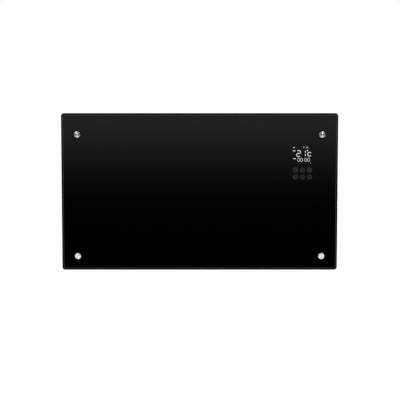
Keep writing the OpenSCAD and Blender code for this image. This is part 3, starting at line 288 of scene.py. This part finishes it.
def turned_steel(colour):
    """Stainless steel, faced on a lathe. The rings of the cut spread each light outwards, so the
    face shows bright and dark wedges."""
    material, tree, shader = new_material(
        "turned_stainless_steel",
        {"Metallic": 1.0, "Base Color": colour, "Anisotropic": 0.97, "Anisotropic Rotation": 0.25})
    place = add_node(tree, "ShaderNodeTexCoord")
    flat = add_node(tree, "ShaderNodeVectorMath", {"operation": "MULTIPLY", 1: (1, 0, 1)},
                    {0: (place, "Object")})
    radius = add_node(tree, "ShaderNodeVectorMath", {"operation": "LENGTH"}, {0: (flat, 0)})
    # Real rings are 0.1 mm apart; these are 0.4 mm, so that they show
    rings = add_node(tree, "ShaderNodeTexNoise",
                     {"noise_dimensions": "1D", "Scale": 1 / (0.4 * MM), "Detail": 2.0},
                     {"W": (radius, "Value")})
    sheen = add_node(tree, "ShaderNodeMapRange", {"To Min": 0.2, "To Max": 0.3},
                     {"Value": (rings, 0)})
    bump = add_node(tree, "ShaderNodeBump", {"Distance": 0.004 * MM}, {"Height": (rings, 0)})
    tangent = add_node(tree, "ShaderNodeTangent", {"direction_type": "RADIAL", "axis": "Y"})
    tree.links.new(sheen.outputs[0], shader.inputs["Roughness"])
    tree.links.new(bump.outputs[0], shader.inputs["Normal"])
    tree.links.new(tangent.outputs[0], shader.inputs["Tangent"])
    return material


def display_light(name, colour):
    """White light-emitting segments under a cloudy diffuser film. They are seen through the
    glass, so their face mirrors as the glass does."""
    material, tree, shader = new_material(
        name, {"Base Color": linear("#000000"), "IOR": 1.52, "Roughness": 0.025,
               "Emission Color": colour})
    place = add_node(tree, "ShaderNodeTexCoord")
    film = add_node(tree, "ShaderNodeTexNoise", {"Scale": 1 / (1.5 * MM)},
                    {"Vector": (place, "Object")})
    glow = add_node(tree, "ShaderNodeMapRange", {"To Min": 0.94, "To Max": 1.04},
                    {"Value": (film, 0)})
    tree.links.new(glow.outputs[0], shader.inputs["Emission Strength"])
    return material


def finishes(colours):
    """The finish of each node, by the real material of the piece."""
    # Polyester powder baked on steel sheet: half-matt black with an orange-peel skin
    powder = grained("black_powder_coat", ("#0b0b0c", "#0e0e0f"), (0.38, 0.5), 0.9 * MM, 0.006 * MM)
    # The same powder in a matt grade on the tray, with its colour and sheen turned down almost to
    # nothing as painted shade, for the shade that the tray's rim lies in round the glass, so that
    # it sets off the glass
    powder_with_painted_shade = grained("matt_black_powder_coat", ("#010101", "#020202"), (0.5, 0.62), 0.9 * MM,
                          0.006 * MM, sockets={"Specular IOR Level": 0.02})
    # Bright zinc plating on turned steel: bluish grey, slightly cloudy
    zinc = grained("zinc_plated_steel", ("#aab0b6", "#bcc1c4"), (0.25, 0.4), 0.5 * MM, 0.003 * MM,
                   blotch=4 * MM, sockets={"Metallic": 1.0})
    # Hot-dip galvanised sheet: dull grey with pale and dark spangles about 8 mm wide
    galvanised = grained("galvanised_sheet", ("#8d9296", "#b7bcc0"), (0.35, 0.55), 2 * MM,
                         0.003 * MM, blotch=8 * MM, sockets={"Metallic": 1.0})
    # Extruded aluminium: pale, with die lines along the press direction, which is X
    extruded = grained("extruded_aluminium", ("#b9bdc0", "#c8cbce"), (0.3, 0.45), 1 * MM,
                       0.004 * MM, stretch=(0.02, 1, 1), sockets={"Metallic": 1.0})
    # Stainless tube, drawn and annealed: warm grey with a faint straw tint from the heat
    tube = grained("annealed_stainless_tube", ("#a39c90", "#b4afa6"), (0.28, 0.42), 0.8 * MM,
                   0.002 * MM, stretch=(0.05, 1, 1), blotch=40 * MM, sockets={"Metallic": 1.0})
    # Moulded silicone rubber: matt mid-grey with a soft skin
    rubber = grained("grey_silicone_rubber", ("#4e4f51", "#5a5b5d"), (0.6, 0.75), 0.6 * MM,
                     0.01 * MM, sockets={"IOR": 1.41})
    # Steatite ceramic, fired and unglazed: off-white and finely sandy
    ceramic = grained("steatite_ceramic", ("#ddd7ca", "#e9e4d9"), (0.45, 0.6), 0.4 * MM,
                      0.008 * MM, sockets={"IOR": 1.58})
    # Injection-moulded ABS with a spark-eroded texture: satin black
    plastic = grained("moulded_black_abs", ("#141416", "#19191b"), (0.35, 0.5), 0.5 * MM,
                      0.012 * MM, sockets={"IOR": 1.53})
    # Glass-epoxy board under green solder mask: glossy, with the weave faintly showing
    board = grained("green_solder_mask", ("#174a2c", "#1f5d38"), (0.25, 0.4), 0.6 * MM,
                    0.006 * MM, blotch=6 * MM, sockets={"IOR": 1.55})
    # Polyamide 66, moulded: milky white with a slight gloss
    nylon = grained("white_polyamide", ("#dedbd3", "#e8e5de"), (0.35, 0.5), 0.5 * MM, 0.006 * MM,
                    sockets={"IOR": 1.53})
    # Rolled brass wire and rod: yellow metal with a light tarnish
    brass = grained("rolled_brass", ("#b8923f", "#cba554"), (0.25, 0.4), 0.6 * MM, 0.003 * MM,
                    blotch=5 * MM, sockets={"Metallic": 1.0})
    # Tin on copper, rolled: pale, soft-looking and slightly streaked along the wire, which is X
    tin = grained("tin_plated_copper", ("#b9bbbc", "#cbcccb"), (0.28, 0.42), 0.4 * MM, 0.002 * MM,
                  stretch=(0.1, 1, 1), blotch=4 * MM, sockets={"Metallic": 1.0})
    # Polyester tape wound on a coil: translucent yellow, smooth
    tape = grained("yellow_polyester_tape", ("#b99a2c", "#cdb040"), (0.25, 0.35), 0.8 * MM,
                   0.008 * MM, stretch=(0.1, 1, 1), blotch=8 * MM, sockets={"IOR": 1.6})
    # Ribbed PVC ribbon: matt grey
    ribbon = grained("grey_pvc_ribbon", ("#7d7f83", "#8d8f93"), (0.5, 0.6), 1.2 * MM, 0.02 * MM,
                     stretch=(1, 0.02, 1), sockets={"IOR": 1.54})
    # Lead insulation of glass-fibre braid over silicone: dull, with the braid as grain
    brown_braid = grained("brown_braided_lead", ("#5e361d", "#7a4a2a"), (0.6, 0.75), 0.7 * MM,
                          0.03 * MM, blotch=3 * MM)
    pale_braid = grained("pale_braided_lead", ("#a5a196", "#bfbbb0"), (0.6, 0.75), 0.7 * MM,
                         0.03 * MM, blotch=3 * MM)
    black_sleeve = grained("black_pvc_sleeve", ("#1a1a1b", "#242425"), (0.35, 0.5), 0.8 * MM,
                           0.01 * MM, sockets={"IOR": 1.54})
    # Relay cases in dark blue polyester
    relay_case = grained("blue_polyester_case", ("#1a2a42", "#20304a"), (0.3, 0.42), 0.5 * MM,
                         0.008 * MM, sockets={"IOR": 1.56})
    return {
        black_glass(colours.glass[:] + (1.0,)): ["glass_panel"],
        turned_steel(colours.caps[:] + (1.0,)): ["glass_caps"],
        powder: ["wall_bracket", "rear_shell", "outlet_grille"],
        # The tray takes the powder darkened with painted shade
        powder_with_painted_shade: ["front_tray"],
        zinc: ["shell_screws", "grille_screws", "foot_nuts", "tray_nuts", "glass_screws",
               "terminal_studs", "back_screws", "board_screws", "display_screws", "fuse_clip",
               "switch_tabs"],
        galvanised: ["element_bracket_left", "element_bracket_right", "heat_shield",
                     "cutout_bracket"],
        extruded: ["heating_element"],
        tube: ["element_sheath"],
        rubber: ["wall_bumpers", "glass_pads", "cap_washers", "element_bushes", "display_gasket"],
        ceramic: ["terminal_insulators", "thermal_cutout"],
        plastic: ["control_box", "box_lid", "display_holder", "digit_module", "switch_housing",
                  "switch_rocker", "cable_gland", "gland_nut"],
        board: ["power_board", "display_board"],
        nylon: ["terminal_block", "sensor_clip"],
        brass: ["touch_springs", "earth_stud"],
        tin: ["thermal_fuse"],
        tape: ["transformer"],
        ribbon: ["ribbon_cable"],
        brown_braid: ["switch_leads"],
        pale_braid: ["element_leads"],
        black_sleeve: ["sensor_lead", "room_sensor", "capacitors"],
        relay_case: ["relays"],
    }


def finish_named(name):
    """A material that the finishes operator has made."""
    return bpy.data.materials[name]


# Settings that a user would change


class HeaterColours(bpy.types.PropertyGroup):
    """Colours of the pieces that show most."""

    glass: FloatVectorProperty(name="Glass", description="Enamel behind the glass",
                               subtype="COLOR", default=linear("#010101")[:3])
    caps: FloatVectorProperty(name="Caps", description="Steel of the four caps",
                              subtype="COLOR", default=linear("#b4b4b4")[:3])
    digits: FloatVectorProperty(name="Digits", description="Light of the temperature digits",
                                subtype="COLOR", default=linear("#ebecf4")[:3])
    clock: FloatVectorProperty(name="Clock", description="Light of the clock digits",
                               subtype="COLOR", default=linear("#d6d7da")[:3])
    icons: FloatVectorProperty(name="Icons", description="Light of the dimmer icons",
                               subtype="COLOR", default=linear("#8c8c90")[:3])
    keys: FloatVectorProperty(name="Keys", description="Printed touch keys",
                              subtype="COLOR", default=linear("#2e2e2e")[:3])


class HeaterDisplay(bpy.types.PropertyGroup):
    """Sizes of the display and the printed keys."""

    digit_stroke: FloatProperty(name="Digit stroke", description="Stroke of the temperature digits",
                                unit="LENGTH", default=2.0 * MM)
    clock_stroke: FloatProperty(name="Clock stroke", description="Stroke of the clock digits",
                                unit="LENGTH", default=1.0 * MM)
    display_shift: FloatProperty(name="Display shift",
                                 description="From the middle key to the middle of the digits",
                                 unit="LENGTH", default=-1.2 * MM)
    key_diameter: FloatProperty(name="Key diameter", description="Diameter of a printed touch key",
                                unit="LENGTH", default=15 * MM)
    print_thickness: FloatProperty(name="Print thickness",
                                   description="How far the print and the light stand proud",
                                   unit="LENGTH", default=0.12 * MM)


class HeaterCaps(bpy.types.PropertyGroup):
    """Shape of the turned caps."""

    bevel: FloatProperty(name="Bevel", description="Rounding of a cap's front edge",
                         unit="LENGTH", default=0.9 * MM)
    crown: FloatProperty(name="Crown", description="How far a cap's face swells in the middle",
                         unit="LENGTH", default=0.03 * MM)


class HeaterStudio(bpy.types.PropertyGroup):
    """Camera, floor and light."""

    camera_distance: FloatProperty(name="Camera distance", description="From the aim point",
                                   unit="LENGTH", default=3.0)
    camera_elevation: FloatProperty(name="Camera elevation", description="Above level",
                                    subtype="ANGLE", default=math.radians(4.38))
    lens: FloatProperty(name="Lens", description="Focal length in millimetres", default=93.25)
    floor_level: FloatProperty(name="Floor level", description="Height of the floor",
                               unit="LENGTH", default=-1.1)
    card_distance: FloatProperty(name="Card distance",
                                 description="From the wall to the card that the glass mirrors",
                                 unit="LENGTH", default=1.3)
    soft_level: FloatProperty(name="Soft level", description="Light from all round", default=0.55)
    board_over: FloatProperty(name="Board over", description="How bright the upper board is",
                              default=8.0)
    board_under: FloatProperty(name="Boards under", description="How bright the lower boards are",
                               default=3.4)
    key_power: FloatProperty(name="Key power", description="Power of the key lamp in watts",
                             default=34.0)


# Operators


class HEATER_OT_finishes(bpy.types.Operator):
    """Give every carried-over piece the finish of its real material"""

    bl_idname = "heater.finishes"
    bl_label = "Finishes"

    def execute(self, context):
        for material, names in finishes(context.scene.heater_colours).items():
            for name in names:
                NODES[name].data.materials.clear()
                NODES[name].data.materials.append(material)
        bare = [n for n, o in NODES.items() if len(o.data.materials) != 1]
        if bare:
            raise RuntimeError(f"no finish for {bare}")
        return {"FINISHED"}


class HEATER_OT_caps(bpy.types.Operator):
    """Turn the four caps that hold the glass"""

    bl_idname = "heater.caps"
    bl_label = "Caps"

    def execute(self, context):
        shape = context.scene.heater_caps
        corners = ("lower_left", "lower_right", "upper_left", "upper_right")
        # Steps of the bevel and of the face, and the share of the radius that is crowned
        steps, crowned = 6, 0.88
        for corner, (low, high) in zip(corners, solids("glass_caps")):
            radius, height = (high.x - low.x) / 2, high.y - low.y
            bevel, wall = shape.bevel, 1.6 * MM
            rim = height - shape.crown
            arc = [(radius - bevel * (1 - math.sin(a)), rim - bevel * (1 - math.cos(a)))
                   for a in [math.pi / 2 * k / steps for k in range(steps, -1, -1)]]
            face = [(radius * crowned * k / steps, height - shape.crown * (k / steps) ** 2)
                    for k in range(steps - 1, 0, -1)]
            profile = ([(0, wall), (radius - wall, wall), (radius - wall, 0), (radius, 0)]
                       + arc + face + [(0, height)])
            bm = lathe(bmesh.new(), profile, Matrix.Rotation(math.pi / 2, 4, "X"), steps=96)
            cap = finish_piece(f"cap_{corner}", bm, finish_named("turned_stainless_steel"),
                               "heater")
            cap.location = ((low.x + high.x) / 2, high.y, (low.z + high.z) / 2)
            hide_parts("glass_caps")
        return {"FINISHED"}


class HEATER_OT_display(bpy.types.Operator):
    """Light the temperature, the clock and the icons behind the glass"""

    bl_idname = "heater.display"
    bl_label = "Display"

    def execute(self, context):
        colours, sizes = context.scene.heater_colours, context.scene.heater_display
        bright = display_light("display_light", colours.digits[:] + (1.0,))
        clock_light = display_light("clock_light", colours.clock[:] + (1.0,))
        dim = display_light("icon_light", colours.icons[:] + (1.0,))
        # Places are in millimetres from the middle key of the upper row
        low, high = solids("touch_springs")[4]
        origin = Vector(((low.x + high.x) / 2 + sizes.display_shift, GLASS_FACE,
                         (low.z + high.z) / 2))
        scale = Matrix.Scale(MM, 4)
        digit, clock = sizes.digit_stroke / MM, sizes.clock_stroke / MM
        thick = sizes.print_thickness / MM

        bm = bmesh.new()
        # A 2 and a 1 in seven-segment figures, a degree dot and a C
        for start, end in (((-13.4, 55.6), (-7.2, 55.6)), ((-5.2, 54.1), (-5.2, 49.6)),
                           ((-13.4, 47.6), (-7.0, 47.6)), ((-15.7, 45.7), (-15.7, 41.0)),
                           ((-13.4, 38.6), (-7.0, 38.6)), ((9.1, 53.3), (9.1, 50.1)),
                           ((9.1, 44.7), (9.1, 41.5))):
            line(bm, start, end, digit)
        stroke(bm, oval_path((21.0, 45.3), 5.0, 5.6, 46, 314), digit)
        filled(bm, oval_path((14.9, 55.8), 1.7, 1.7))
        plate("temperature_digits", bm, bright, "heater", origin, thick, scale)

        bm = bmesh.new()
        for x in (-10.2, -1.7, 9.7, 18.4):
            stroke(bm, oval_path((x, 29.2), 3.0, 5.1), clock, closed=True)
        plate("clock_digits", bm, clock_light, "heater", origin, thick, scale)

        # Mode marks: a bar, a dot and a half disc
        bm = bmesh.new()
        line(bm, (-24.9, 32.4), (-18.8, 32.4), 2.1)
        filled(bm, oval_path((-24.0, 64.4), 1.7, 1.7))
        filled(bm, oval_path((-23.4, 56.2), 3.6, 2.8, 180, 360, steps=24))
        plate("mode_marks", bm, clock_light, "heater", origin, thick, scale)

        # Status icons: a padlock, a sun and a tick
        bm = bmesh.new()
        filled(bm, [(2.5, 62.9), (5.9, 62.9), (5.9, 65.6), (2.5, 65.6)])
        stroke(bm, oval_path((4.2, 66.1), 1.1, 1.4, 0, 180, steps=16), 0.7)
        sun = Vector((14.0, 64.7))
        filled(bm, oval_path(sun, 2.1, 2.1))
        for k in range(8):
            ray = Matrix.Rotation(math.tau * k / 8, 2) @ Vector((1, 0))
            line(bm, sun + ray * 3.3, sun + ray * 4.0, 1.0)
        filled(bm, oval_path((24.4, 20.5), 1.0, 2.2))
        plate("status_icons", bm, dim, "heater", origin, thick, scale)
        return {"FINISHED"}


class HEATER_OT_keys(bpy.types.Operator):
    """Print the six touch keys on the glass"""

    bl_idname = "heater.keys"
    bl_label = "Touch keys"

    def execute(self, context):
        colours, sizes = context.scene.heater_colours, context.scene.heater_display
        # Ceramic ink fired on the back of the glass: finely speckled, under the glass's own gloss
        shades = [tuple(c * share for c in colours.keys) + (1.0,) for share in (0.84, 1.16)]
        ink, dark = (grained(name, pair, (0.02, 0.03), 0.4 * MM, 0.0002 * MM, blotch=2 * MM,
                             sockets={"IOR": 1.52})
                     for name, pair in (("grey_fired_ink", shades),
                                        ("black_fired_ink", ("#010101", "#020202"))))
        scale = Matrix.Scale(MM, 4)
        thick, radius = sizes.print_thickness / MM, sizes.key_diameter / MM / 2
        # Each row from the left, the lower row first
        names = ("plus", "clock", "minus", "power", "thermometer", "night")
        for name, (low, high) in zip(names, solids("touch_springs")):
            origin = Vector(((low.x + high.x) / 2, GLASS_FACE, (low.z + high.z) / 2))
            bm = bmesh.new()
            filled(bm, oval_path((0, 0), radius, radius, steps=64))
            plate(f"key_{name}", bm, ink, "heater", origin, thick, scale)
            bm = bmesh.new()
            if name == "plus":
                filled(bm, plus_outline((0, 0.4), 2.4, 0.65))
            elif name == "minus":
                line(bm, (-2.3, 1.2), (2.3, 1.2), 2.0)
            elif name == "clock":
                stroke(bm, oval_path((0, 0.6), 2.5, 2.5), 0.9, closed=True)
                stroke(bm, rounded_path([(0, 2.0), (0, 0.6), (1.2, 0.6)], 0.2), 0.8)
            elif name == "power":
                stroke(bm, oval_path((0, 0.2), 2.3, 2.3, 125, 415), 1.1)
                line(bm, (0, 0.6), (0, 2.9), 1.1)
            elif name == "thermometer":
                # Round the bulb from one side of its neck to the other, and over the stem's end
                filled(bm, oval_path((0, -2.4), 1.6, 1.6, 118, 422)
                       + oval_path((0, 3.6), 0.75, 0.75, 0, 180, steps=16))
            else:
                # A moon: round its back from tip to tip, and back along its hollow side
                filled(bm, oval_path((0.6, 0.4), 2.7, 2.7, 60, 300)
                       + oval_path((1.95, 0.4), 2.15, 2.34, 262, 98))
            front = origin + Vector((0, -sizes.print_thickness, 0))
            plate(f"key_{name}_mark", bm, dark, "heater", front, thick / 2, scale)
        return {"FINISHED"}


def screw_mesh(head_r, head_h, shank_r, length):
    """A pan-head screw along +Z with its head up, its underside at 0, and a cross recess."""
    # The head's outline, in shares of its radius and height
    lip = [(head_r * across, head_h * up) for across, up in (
        (1, 0), (1, 0.45), (0.93, 0.72), (0.78, 0.9), (0.55, 1), (0, 1))]
    bm = lathe(bmesh.new(), [(0, -length), (shank_r * 0.6, -length),
                             (shank_r, -length + shank_r), (shank_r, 0)] + lip, steps=48)
    bmesh.ops.recalc_face_normals(bm, faces=bm.faces)
    body = bpy.data.meshes.new("screw")
    bm.to_mesh(body)
    bm.free()
    # The recess is two crossed bars that narrow as they go down
    bm = bmesh.new()
    for turn in (0, math.pi / 2):
        bar = bmesh.ops.create_cone(bm, cap_ends=True, segments=4, radius1=head_r * 0.2,
                                    radius2=head_r * 0.62, depth=head_h)["verts"]
        bmesh.ops.transform(bm, verts=bar, matrix=(
            Matrix.Translation((0, 0, head_h * 0.85)) @ Matrix.Rotation(turn, 4, "Z")
            @ Matrix.Diagonal((1.0, 0.26, 1.0, 1.0)) @ Matrix.Rotation(math.pi / 4, 4, "Z")))
    cutter_mesh = bpy.data.meshes.new("recess")
    bmesh.ops.recalc_face_normals(bm, faces=bm.faces)
    bm.to_mesh(cutter_mesh)
    bm.free()
    head = bpy.data.objects.new("screw", body)
    cutter = bpy.data.objects.new("recess", cutter_mesh)
    for o in (head, cutter):
        bpy.context.scene.collection.objects.link(o)
    cut = head.modifiers.new("recess", "BOOLEAN")
    cut.operation, cut.object, cut.solver, cut.use_self = "DIFFERENCE", cutter, "EXACT", True
    depsgraph = bpy.context.evaluated_depsgraph_get()
    result = bpy.data.meshes.new_from_object(head.evaluated_get(depsgraph))
    for o in (head, cutter):
        bpy.data.objects.remove(o)
    return result


class HEATER_OT_screws(bpy.types.Operator):
    """Cut the screws that show on the back, the flange and the grille"""

    bl_idname = "heater.screws"
    bl_label = "Screws"

    def execute(self, context):
        zinc = finish_named("zinc_plated_steel")
        # Node, head height, shank radius, turn that brings +Z to the head's side, and the axis
        to_back, to_top = Matrix.Rotation(-math.pi / 2, 4, "X"), Matrix.Identity(4)
        groups = (("shell_screws", 2.4 * MM, 1.9 * MM, to_back, 1),
                  ("back_screws", 2.4 * MM, 1.65 * MM, to_back, 1),
                  ("grille_screws", 1.4 * MM, 1.3 * MM, to_top, 2))
        golden_turn = 2.4
        for node, head_h, shank_r, turn, axis in groups:
            bm = bmesh.new()
            for i, (low, high) in enumerate(solids(node)):
                middle = (low + high) / 2
                middle[axis] = high[axis] - head_h
                length = high[axis] - low[axis] - head_h
                mesh = screw_mesh((high.x - low.x) / 2, head_h, shank_r, length)
                # Each screw stops at its own angle
                spin = Matrix.Rotation(golden_turn * i, 4, "Z")
                mesh.transform(Matrix.Translation(middle) @ turn @ spin)
                bm.from_mesh(mesh)
            screws = finish_piece(f"{node}_cross", bm, zinc, "heater")
            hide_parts(node)
        return {"FINISHED"}


class HEATER_OT_switch(bpy.types.Operator):
    """Print the on and off marks on the mains rocker"""

    bl_idname = "heater.switch"
    bl_label = "Mains rocker"

    def execute(self, context):
        # Pad-printed white ink on the rocker
        white = grained("pad_printed_white_ink", ("#d8d8d6", "#e4e4e2"), (0.5, 0.6), 0.4 * MM,
                        0.002 * MM, blotch=2 * MM)
        joint = next(j for j in frame["joints"] if j["name"] == "power_rocker")
        pivot = Vector(joint["pos_m"])
        # The halves meet in a ridge outside the pivot. At rest the upper one is pressed in and
        # upright, and the lower one leans by twice the tilt
        tilt = math.radians(max(joint["range_deg"])) / 2
        rise, offset = 3 * MM, 6.2 * MM
        ridge = pivot + Vector((rise * math.cos(tilt), 0, rise * math.sin(tilt)))
        to_x = Matrix.Rotation(math.pi / 2, 4, "Z")
        scale = Matrix.Scale(MM, 4)
        half_height, ink = 2.2, 0.1
        bm = bmesh.new()
        line(bm, (0, -half_height), (0, half_height), 1.0)
        plate("rocker_mark_on", bm, white, "rocker", ridge + Vector((0, 0, offset)), ink,
              to_x @ scale)
        bm = bmesh.new()
        stroke(bm, oval_path((0, 0), half_height, half_height), 0.9, closed=True)
        lean = Matrix.Rotation(-2 * tilt, 4, "Y")
        plate("rocker_mark_off", bm, white, "rocker", ridge + lean @ Vector((0, 0, -offset)), ink,
              lean @ to_x @ scale)
        return {"FINISHED"}


class HEATER_OT_stage(bpy.types.Operator):
    """Set up the camera, the white room, the floor, the boards in front and the lamps"""

    bl_idname = "heater.stage"
    bl_label = "Stage"

    def execute(self, context):
        studio = context.scene.heater_studio
        # The photograph's middle is a little right of the glass's middle, and below it
        aim_right, aim_below = 1.1 * MM, 23.2 * MM
        aim = Vector((aim_right, GLASS_FACE, (GLASS_LOW.z + GLASS_HIGH.z) / 2 - aim_below))
        back = Vector((0, -math.cos(studio.camera_elevation), math.sin(studio.camera_elevation)))
        camera = aim + back * studio.camera_distance
        self.make_camera(context, studio, aim, camera)
        self.make_world(context, studio)
        self.make_floor(studio)
        self.make_boards(studio, camera)
        # Square soft boxes, each with its place, its side and its power
        self.make_lamp("key_lamp", (-1.5, -2.4, 1.7), aim, 1.6, studio.key_power)
        self.make_lamp("rim_lamp", (0.6, 1.8, 1.4), aim, 1.4, studio.key_power * 0.5)
        fill = self.make_lamp("fill_lamp", (1.9, -1.5, 0.9), aim, 1.4, studio.key_power * 0.4)
        fill.visible_glossy = False
        return {"FINISHED"}

    def make_camera(self, context, studio, aim, place):
        data = bpy.data.cameras.new("camera")
        data.lens, data.sensor_width = studio.lens, 36
        camera = bpy.data.objects.new("camera", data)
        camera.location = place
        camera.rotation_euler = (aim - place).to_track_quat("-Z", "Y").to_euler()
        context.scene.collection.objects.link(camera)
        context.scene.camera = camera

    def make_world(self, context, studio):
        """White where the eye, a gloss or a glass looks, and a plain soft level elsewhere."""
        world = bpy.data.worlds.new("studio")
        world.use_nodes = True
        context.scene.world = world
        tree = world.node_tree
        tree.nodes.clear()
        seen = self.seen(tree)
        soft, white = (add_node(tree, "ShaderNodeBackground",
                                {"Strength": level, "Color": (1, 1, 1, 1)})
                       for level in (studio.soft_level, 1.0))
        both = add_node(tree, "ShaderNodeMixShader", {},
                        {0: (seen, 0), 1: (soft, 0), 2: (white, 0)})
        add_node(tree, "ShaderNodeOutputWorld", {}, {"Surface": (both, 0)})

    def seen(self, tree):
        """1 for camera, glossy and transmission rays."""
        path = add_node(tree, "ShaderNodeLightPath")
        first = add_node(tree, "ShaderNodeMath", {"operation": "MAXIMUM"},
                         {0: (path, "Is Camera Ray"), 1: (path, "Is Glossy Ray")})
        return add_node(tree, "ShaderNodeMath", {"operation": "MAXIMUM"},
                        {0: (first, 0), 1: (path, "Is Transmission Ray")})

    def stage_plane(self, name, corners, material):
        mesh = bpy.data.meshes.new(name)
        mesh.from_pydata(corners, [], [(0, 1, 2, 3)])
        mesh.materials.append(material)
        plane = bpy.data.objects.new(name, mesh)
        bpy.context.scene.collection.objects.link(plane)
        return plane

    def make_floor(self, studio):
        """Matt white board. What the eye sees of it is white, less a little where it is shaded.
        From below it is clear, so that the underside of the heater can be looked at."""
        material, tree, shader = new_material("matt_white_board", {
            "Roughness": 0.9, "Specular IOR Level": 0.1, "Base Color": linear("#a2a2a2"),
            "Emission Color": (1, 1, 1, 1)})
        seen = self.seen(tree)
        place = add_node(tree, "ShaderNodeTexCoord")
        fibre = add_node(tree, "ShaderNodeTexNoise", {"Scale": 1 / (2 * MM)},
                         {"Vector": (place, "Object")})
        bump = add_node(tree, "ShaderNodeBump", {"Distance": 0.02 * MM}, {"Height": (fibre, 0)})
        glow = 0.86
        lit = add_node(tree, "ShaderNodeMath", {"operation": "MULTIPLY", 1: glow}, {0: (seen, 0)})
        tree.links.new(lit.outputs[0], shader.inputs["Emission Strength"])
        tree.links.new(bump.outputs[0], shader.inputs["Normal"])
        side = add_node(tree, "ShaderNodeNewGeometry")
        clear = add_node(tree, "ShaderNodeBsdfTransparent")
        one_sided = add_node(tree, "ShaderNodeMixShader", {},
                             {0: (side, "Backfacing"), 1: (shader, 0), 2: (clear, 0)})
        tree.links.new(one_sided.outputs[0], tree.nodes["Material Output"].inputs["Surface"])
        half, z = 5.0, studio.floor_level
        self.stage_plane("floor", [(-half, -half, z), (half, -half, z), (half, half, z),
                                   (-half, half, z)], material)

    def make_boards(self, studio, camera):
        """A dark card and bright boards in front, which only glosses see. The glass mirrors the
        card, and the turned caps gather light from the boards round it."""
        y = -studio.card_distance
        spread = (studio.card_distance + GLASS_FACE) / (GLASS_FACE - camera.y)

        def mirrored(z):
            return z + (z - camera.z) * spread

        margin = 7 * MM
        low, high = mirrored(GLASS_LOW.z - margin), mirrored(GLASS_HIGH.z + margin)
        dark = self.board_material("graded_dark_card")
        tree = dark.node_tree
        place = add_node(tree, "ShaderNodeTexCoord")
        height = add_node(tree, "ShaderNodeSeparateXYZ", {}, {"Vector": (place, "Object")})
        share = add_node(tree, "ShaderNodeMapRange", {"From Min": low, "From Max": high},
                         {"Value": (height, "Z")})
        ramp = add_node(tree, "ShaderNodeValToRGB", {}, {"Fac": (share, 0)})
        # Share of the glass's height, and how light the card is there
        steps = ((0.0, 0.0), (0.16, 0.0), (0.39, 0.0075), (0.47, 0.0225), (0.55, 0.053),
                 (0.63, 0.103), (0.745, 0.193), (0.865, 0.30), (1.0, 0.39))
        while len(ramp.color_ramp.elements) < len(steps):
            ramp.color_ramp.elements.new(0.5)
        for element, (share, level) in zip(ramp.color_ramp.elements, steps):
            element.position = share
            element.color = (level, level, level, 1)
        tree.links.new(ramp.outputs[0], tree.nodes["Emission"].inputs["Color"])
        black = self.board_material("black_card", 0.02)
        over = self.board_material("board_over", studio.board_over)
        under = self.board_material("board_under", studio.board_under)
        # The card is widest where the upper caps look, and no wider than the glass's image below
        widest, wide, narrow, lower_share = 4.0, 1.6, 0.58, 0.45
        split = low + lower_share * (high - low)
        floor = studio.floor_level + 20 * MM
        self.board("dark_card_upper", widest, -widest, split, high, y, dark)
        self.board("dark_card_lower", narrow, -narrow, low, split, y, dark)
        self.board("black_card", widest, -widest, high, high + 1.2, y, black)
        # Over and a little outside each upper cap's mirror image, in front of the black card
        inner, outer, bottom, top, nearer = 0.46, 0.86, high + 0.16, high + 1.0, y + 10 * MM
        self.board("board_over_left", -inner, -outer, bottom, top, nearer, over)
        self.board("board_over_right", outer, inner, bottom, top, nearer, over)
        self.board("board_under", wide, -wide, floor, low, y, under)
        self.board("board_left", -narrow, -wide, low, split, y, under)
        self.board("board_right", wide, narrow, low, split, y, under)

    def board_material(self, name, strength=1.0):
        material = bpy.data.materials.new(name)
        material.use_nodes = True
        tree = material.node_tree
        tree.nodes.clear()
        glow = add_node(tree, "ShaderNodeEmission", {"Strength": strength})
        add_node(tree, "ShaderNodeOutputMaterial", {}, {"Surface": (glow, 0)})
        return material

    def board(self, name, right, left, low, high, y, material):
        board = self.stage_plane(name, [(left, y, low), (right, y, low), (right, y, high),
                                        (left, y, high)], material)
        board.visible_camera = board.visible_diffuse = board.visible_shadow = False
        board.visible_transmission = False

    def make_lamp(self, name, place, aim, size, power):
        data = bpy.data.lights.new(name, "AREA")
        data.shape, data.size, data.energy = "SQUARE", size, power
        lamp = bpy.data.objects.new(name, data)
        lamp.location = place
        lamp.rotation_euler = (aim - Vector(place)).to_track_quat("-Z", "Y").to_euler()
        lamp.visible_camera = False
        bpy.context.scene.collection.objects.link(lamp)
        return lamp


OPERATORS = (HEATER_OT_finishes, HEATER_OT_caps, HEATER_OT_display, HEATER_OT_keys,
             HEATER_OT_screws, HEATER_OT_switch, HEATER_OT_stage)
GROUPS = {"heater_colours": HeaterColours, "heater_display": HeaterDisplay,
          "heater_caps": HeaterCaps, "heater_studio": HeaterStudio}


class HEATER_PT_panel(bpy.types.Panel):
    """The heater's settings and the operators that make its pieces"""

    bl_idname = "HEATER_PT_panel"
    bl_label = "Glass convector heater"
    bl_space_type = "VIEW_3D"
    bl_region_type = "UI"
    bl_category = "Heater"

    def draw(self, context):
        for name in GROUPS:
            group = getattr(context.scene, name)
            box = self.layout.box()
            for setting in group.__annotations__:
                box.prop(group, setting)
        for operator in OPERATORS:
            self.layout.operator(operator.bl_idname)


def register():
    for cls in (*GROUPS.values(), *OPERATORS, HEATER_PT_panel):
        bpy.utils.register_class(cls)
    for name, group in GROUPS.items():
        setattr(bpy.types.Scene, name, PointerProperty(type=group))


def unregister():
    for name in GROUPS:
        delattr(bpy.types.Scene, name)
    for cls in (HEATER_PT_panel, *reversed(OPERATORS), *reversed(list(GROUPS.values()))):
        bpy.utils.unregister_class(cls)


def main():
    """Makes the pieces and the stage in order."""
    register()
    bpy.context.scene.view_settings.view_transform = "Standard"
    bpy.ops.heater.finishes()
    bpy.ops.heater.caps()
    bpy.ops.heater.display()
    bpy.ops.heater.keys()
    bpy.ops.heater.screws()
    bpy.ops.heater.switch()
    bpy.ops.heater.stage()


if __name__ == "__main__":
    main()
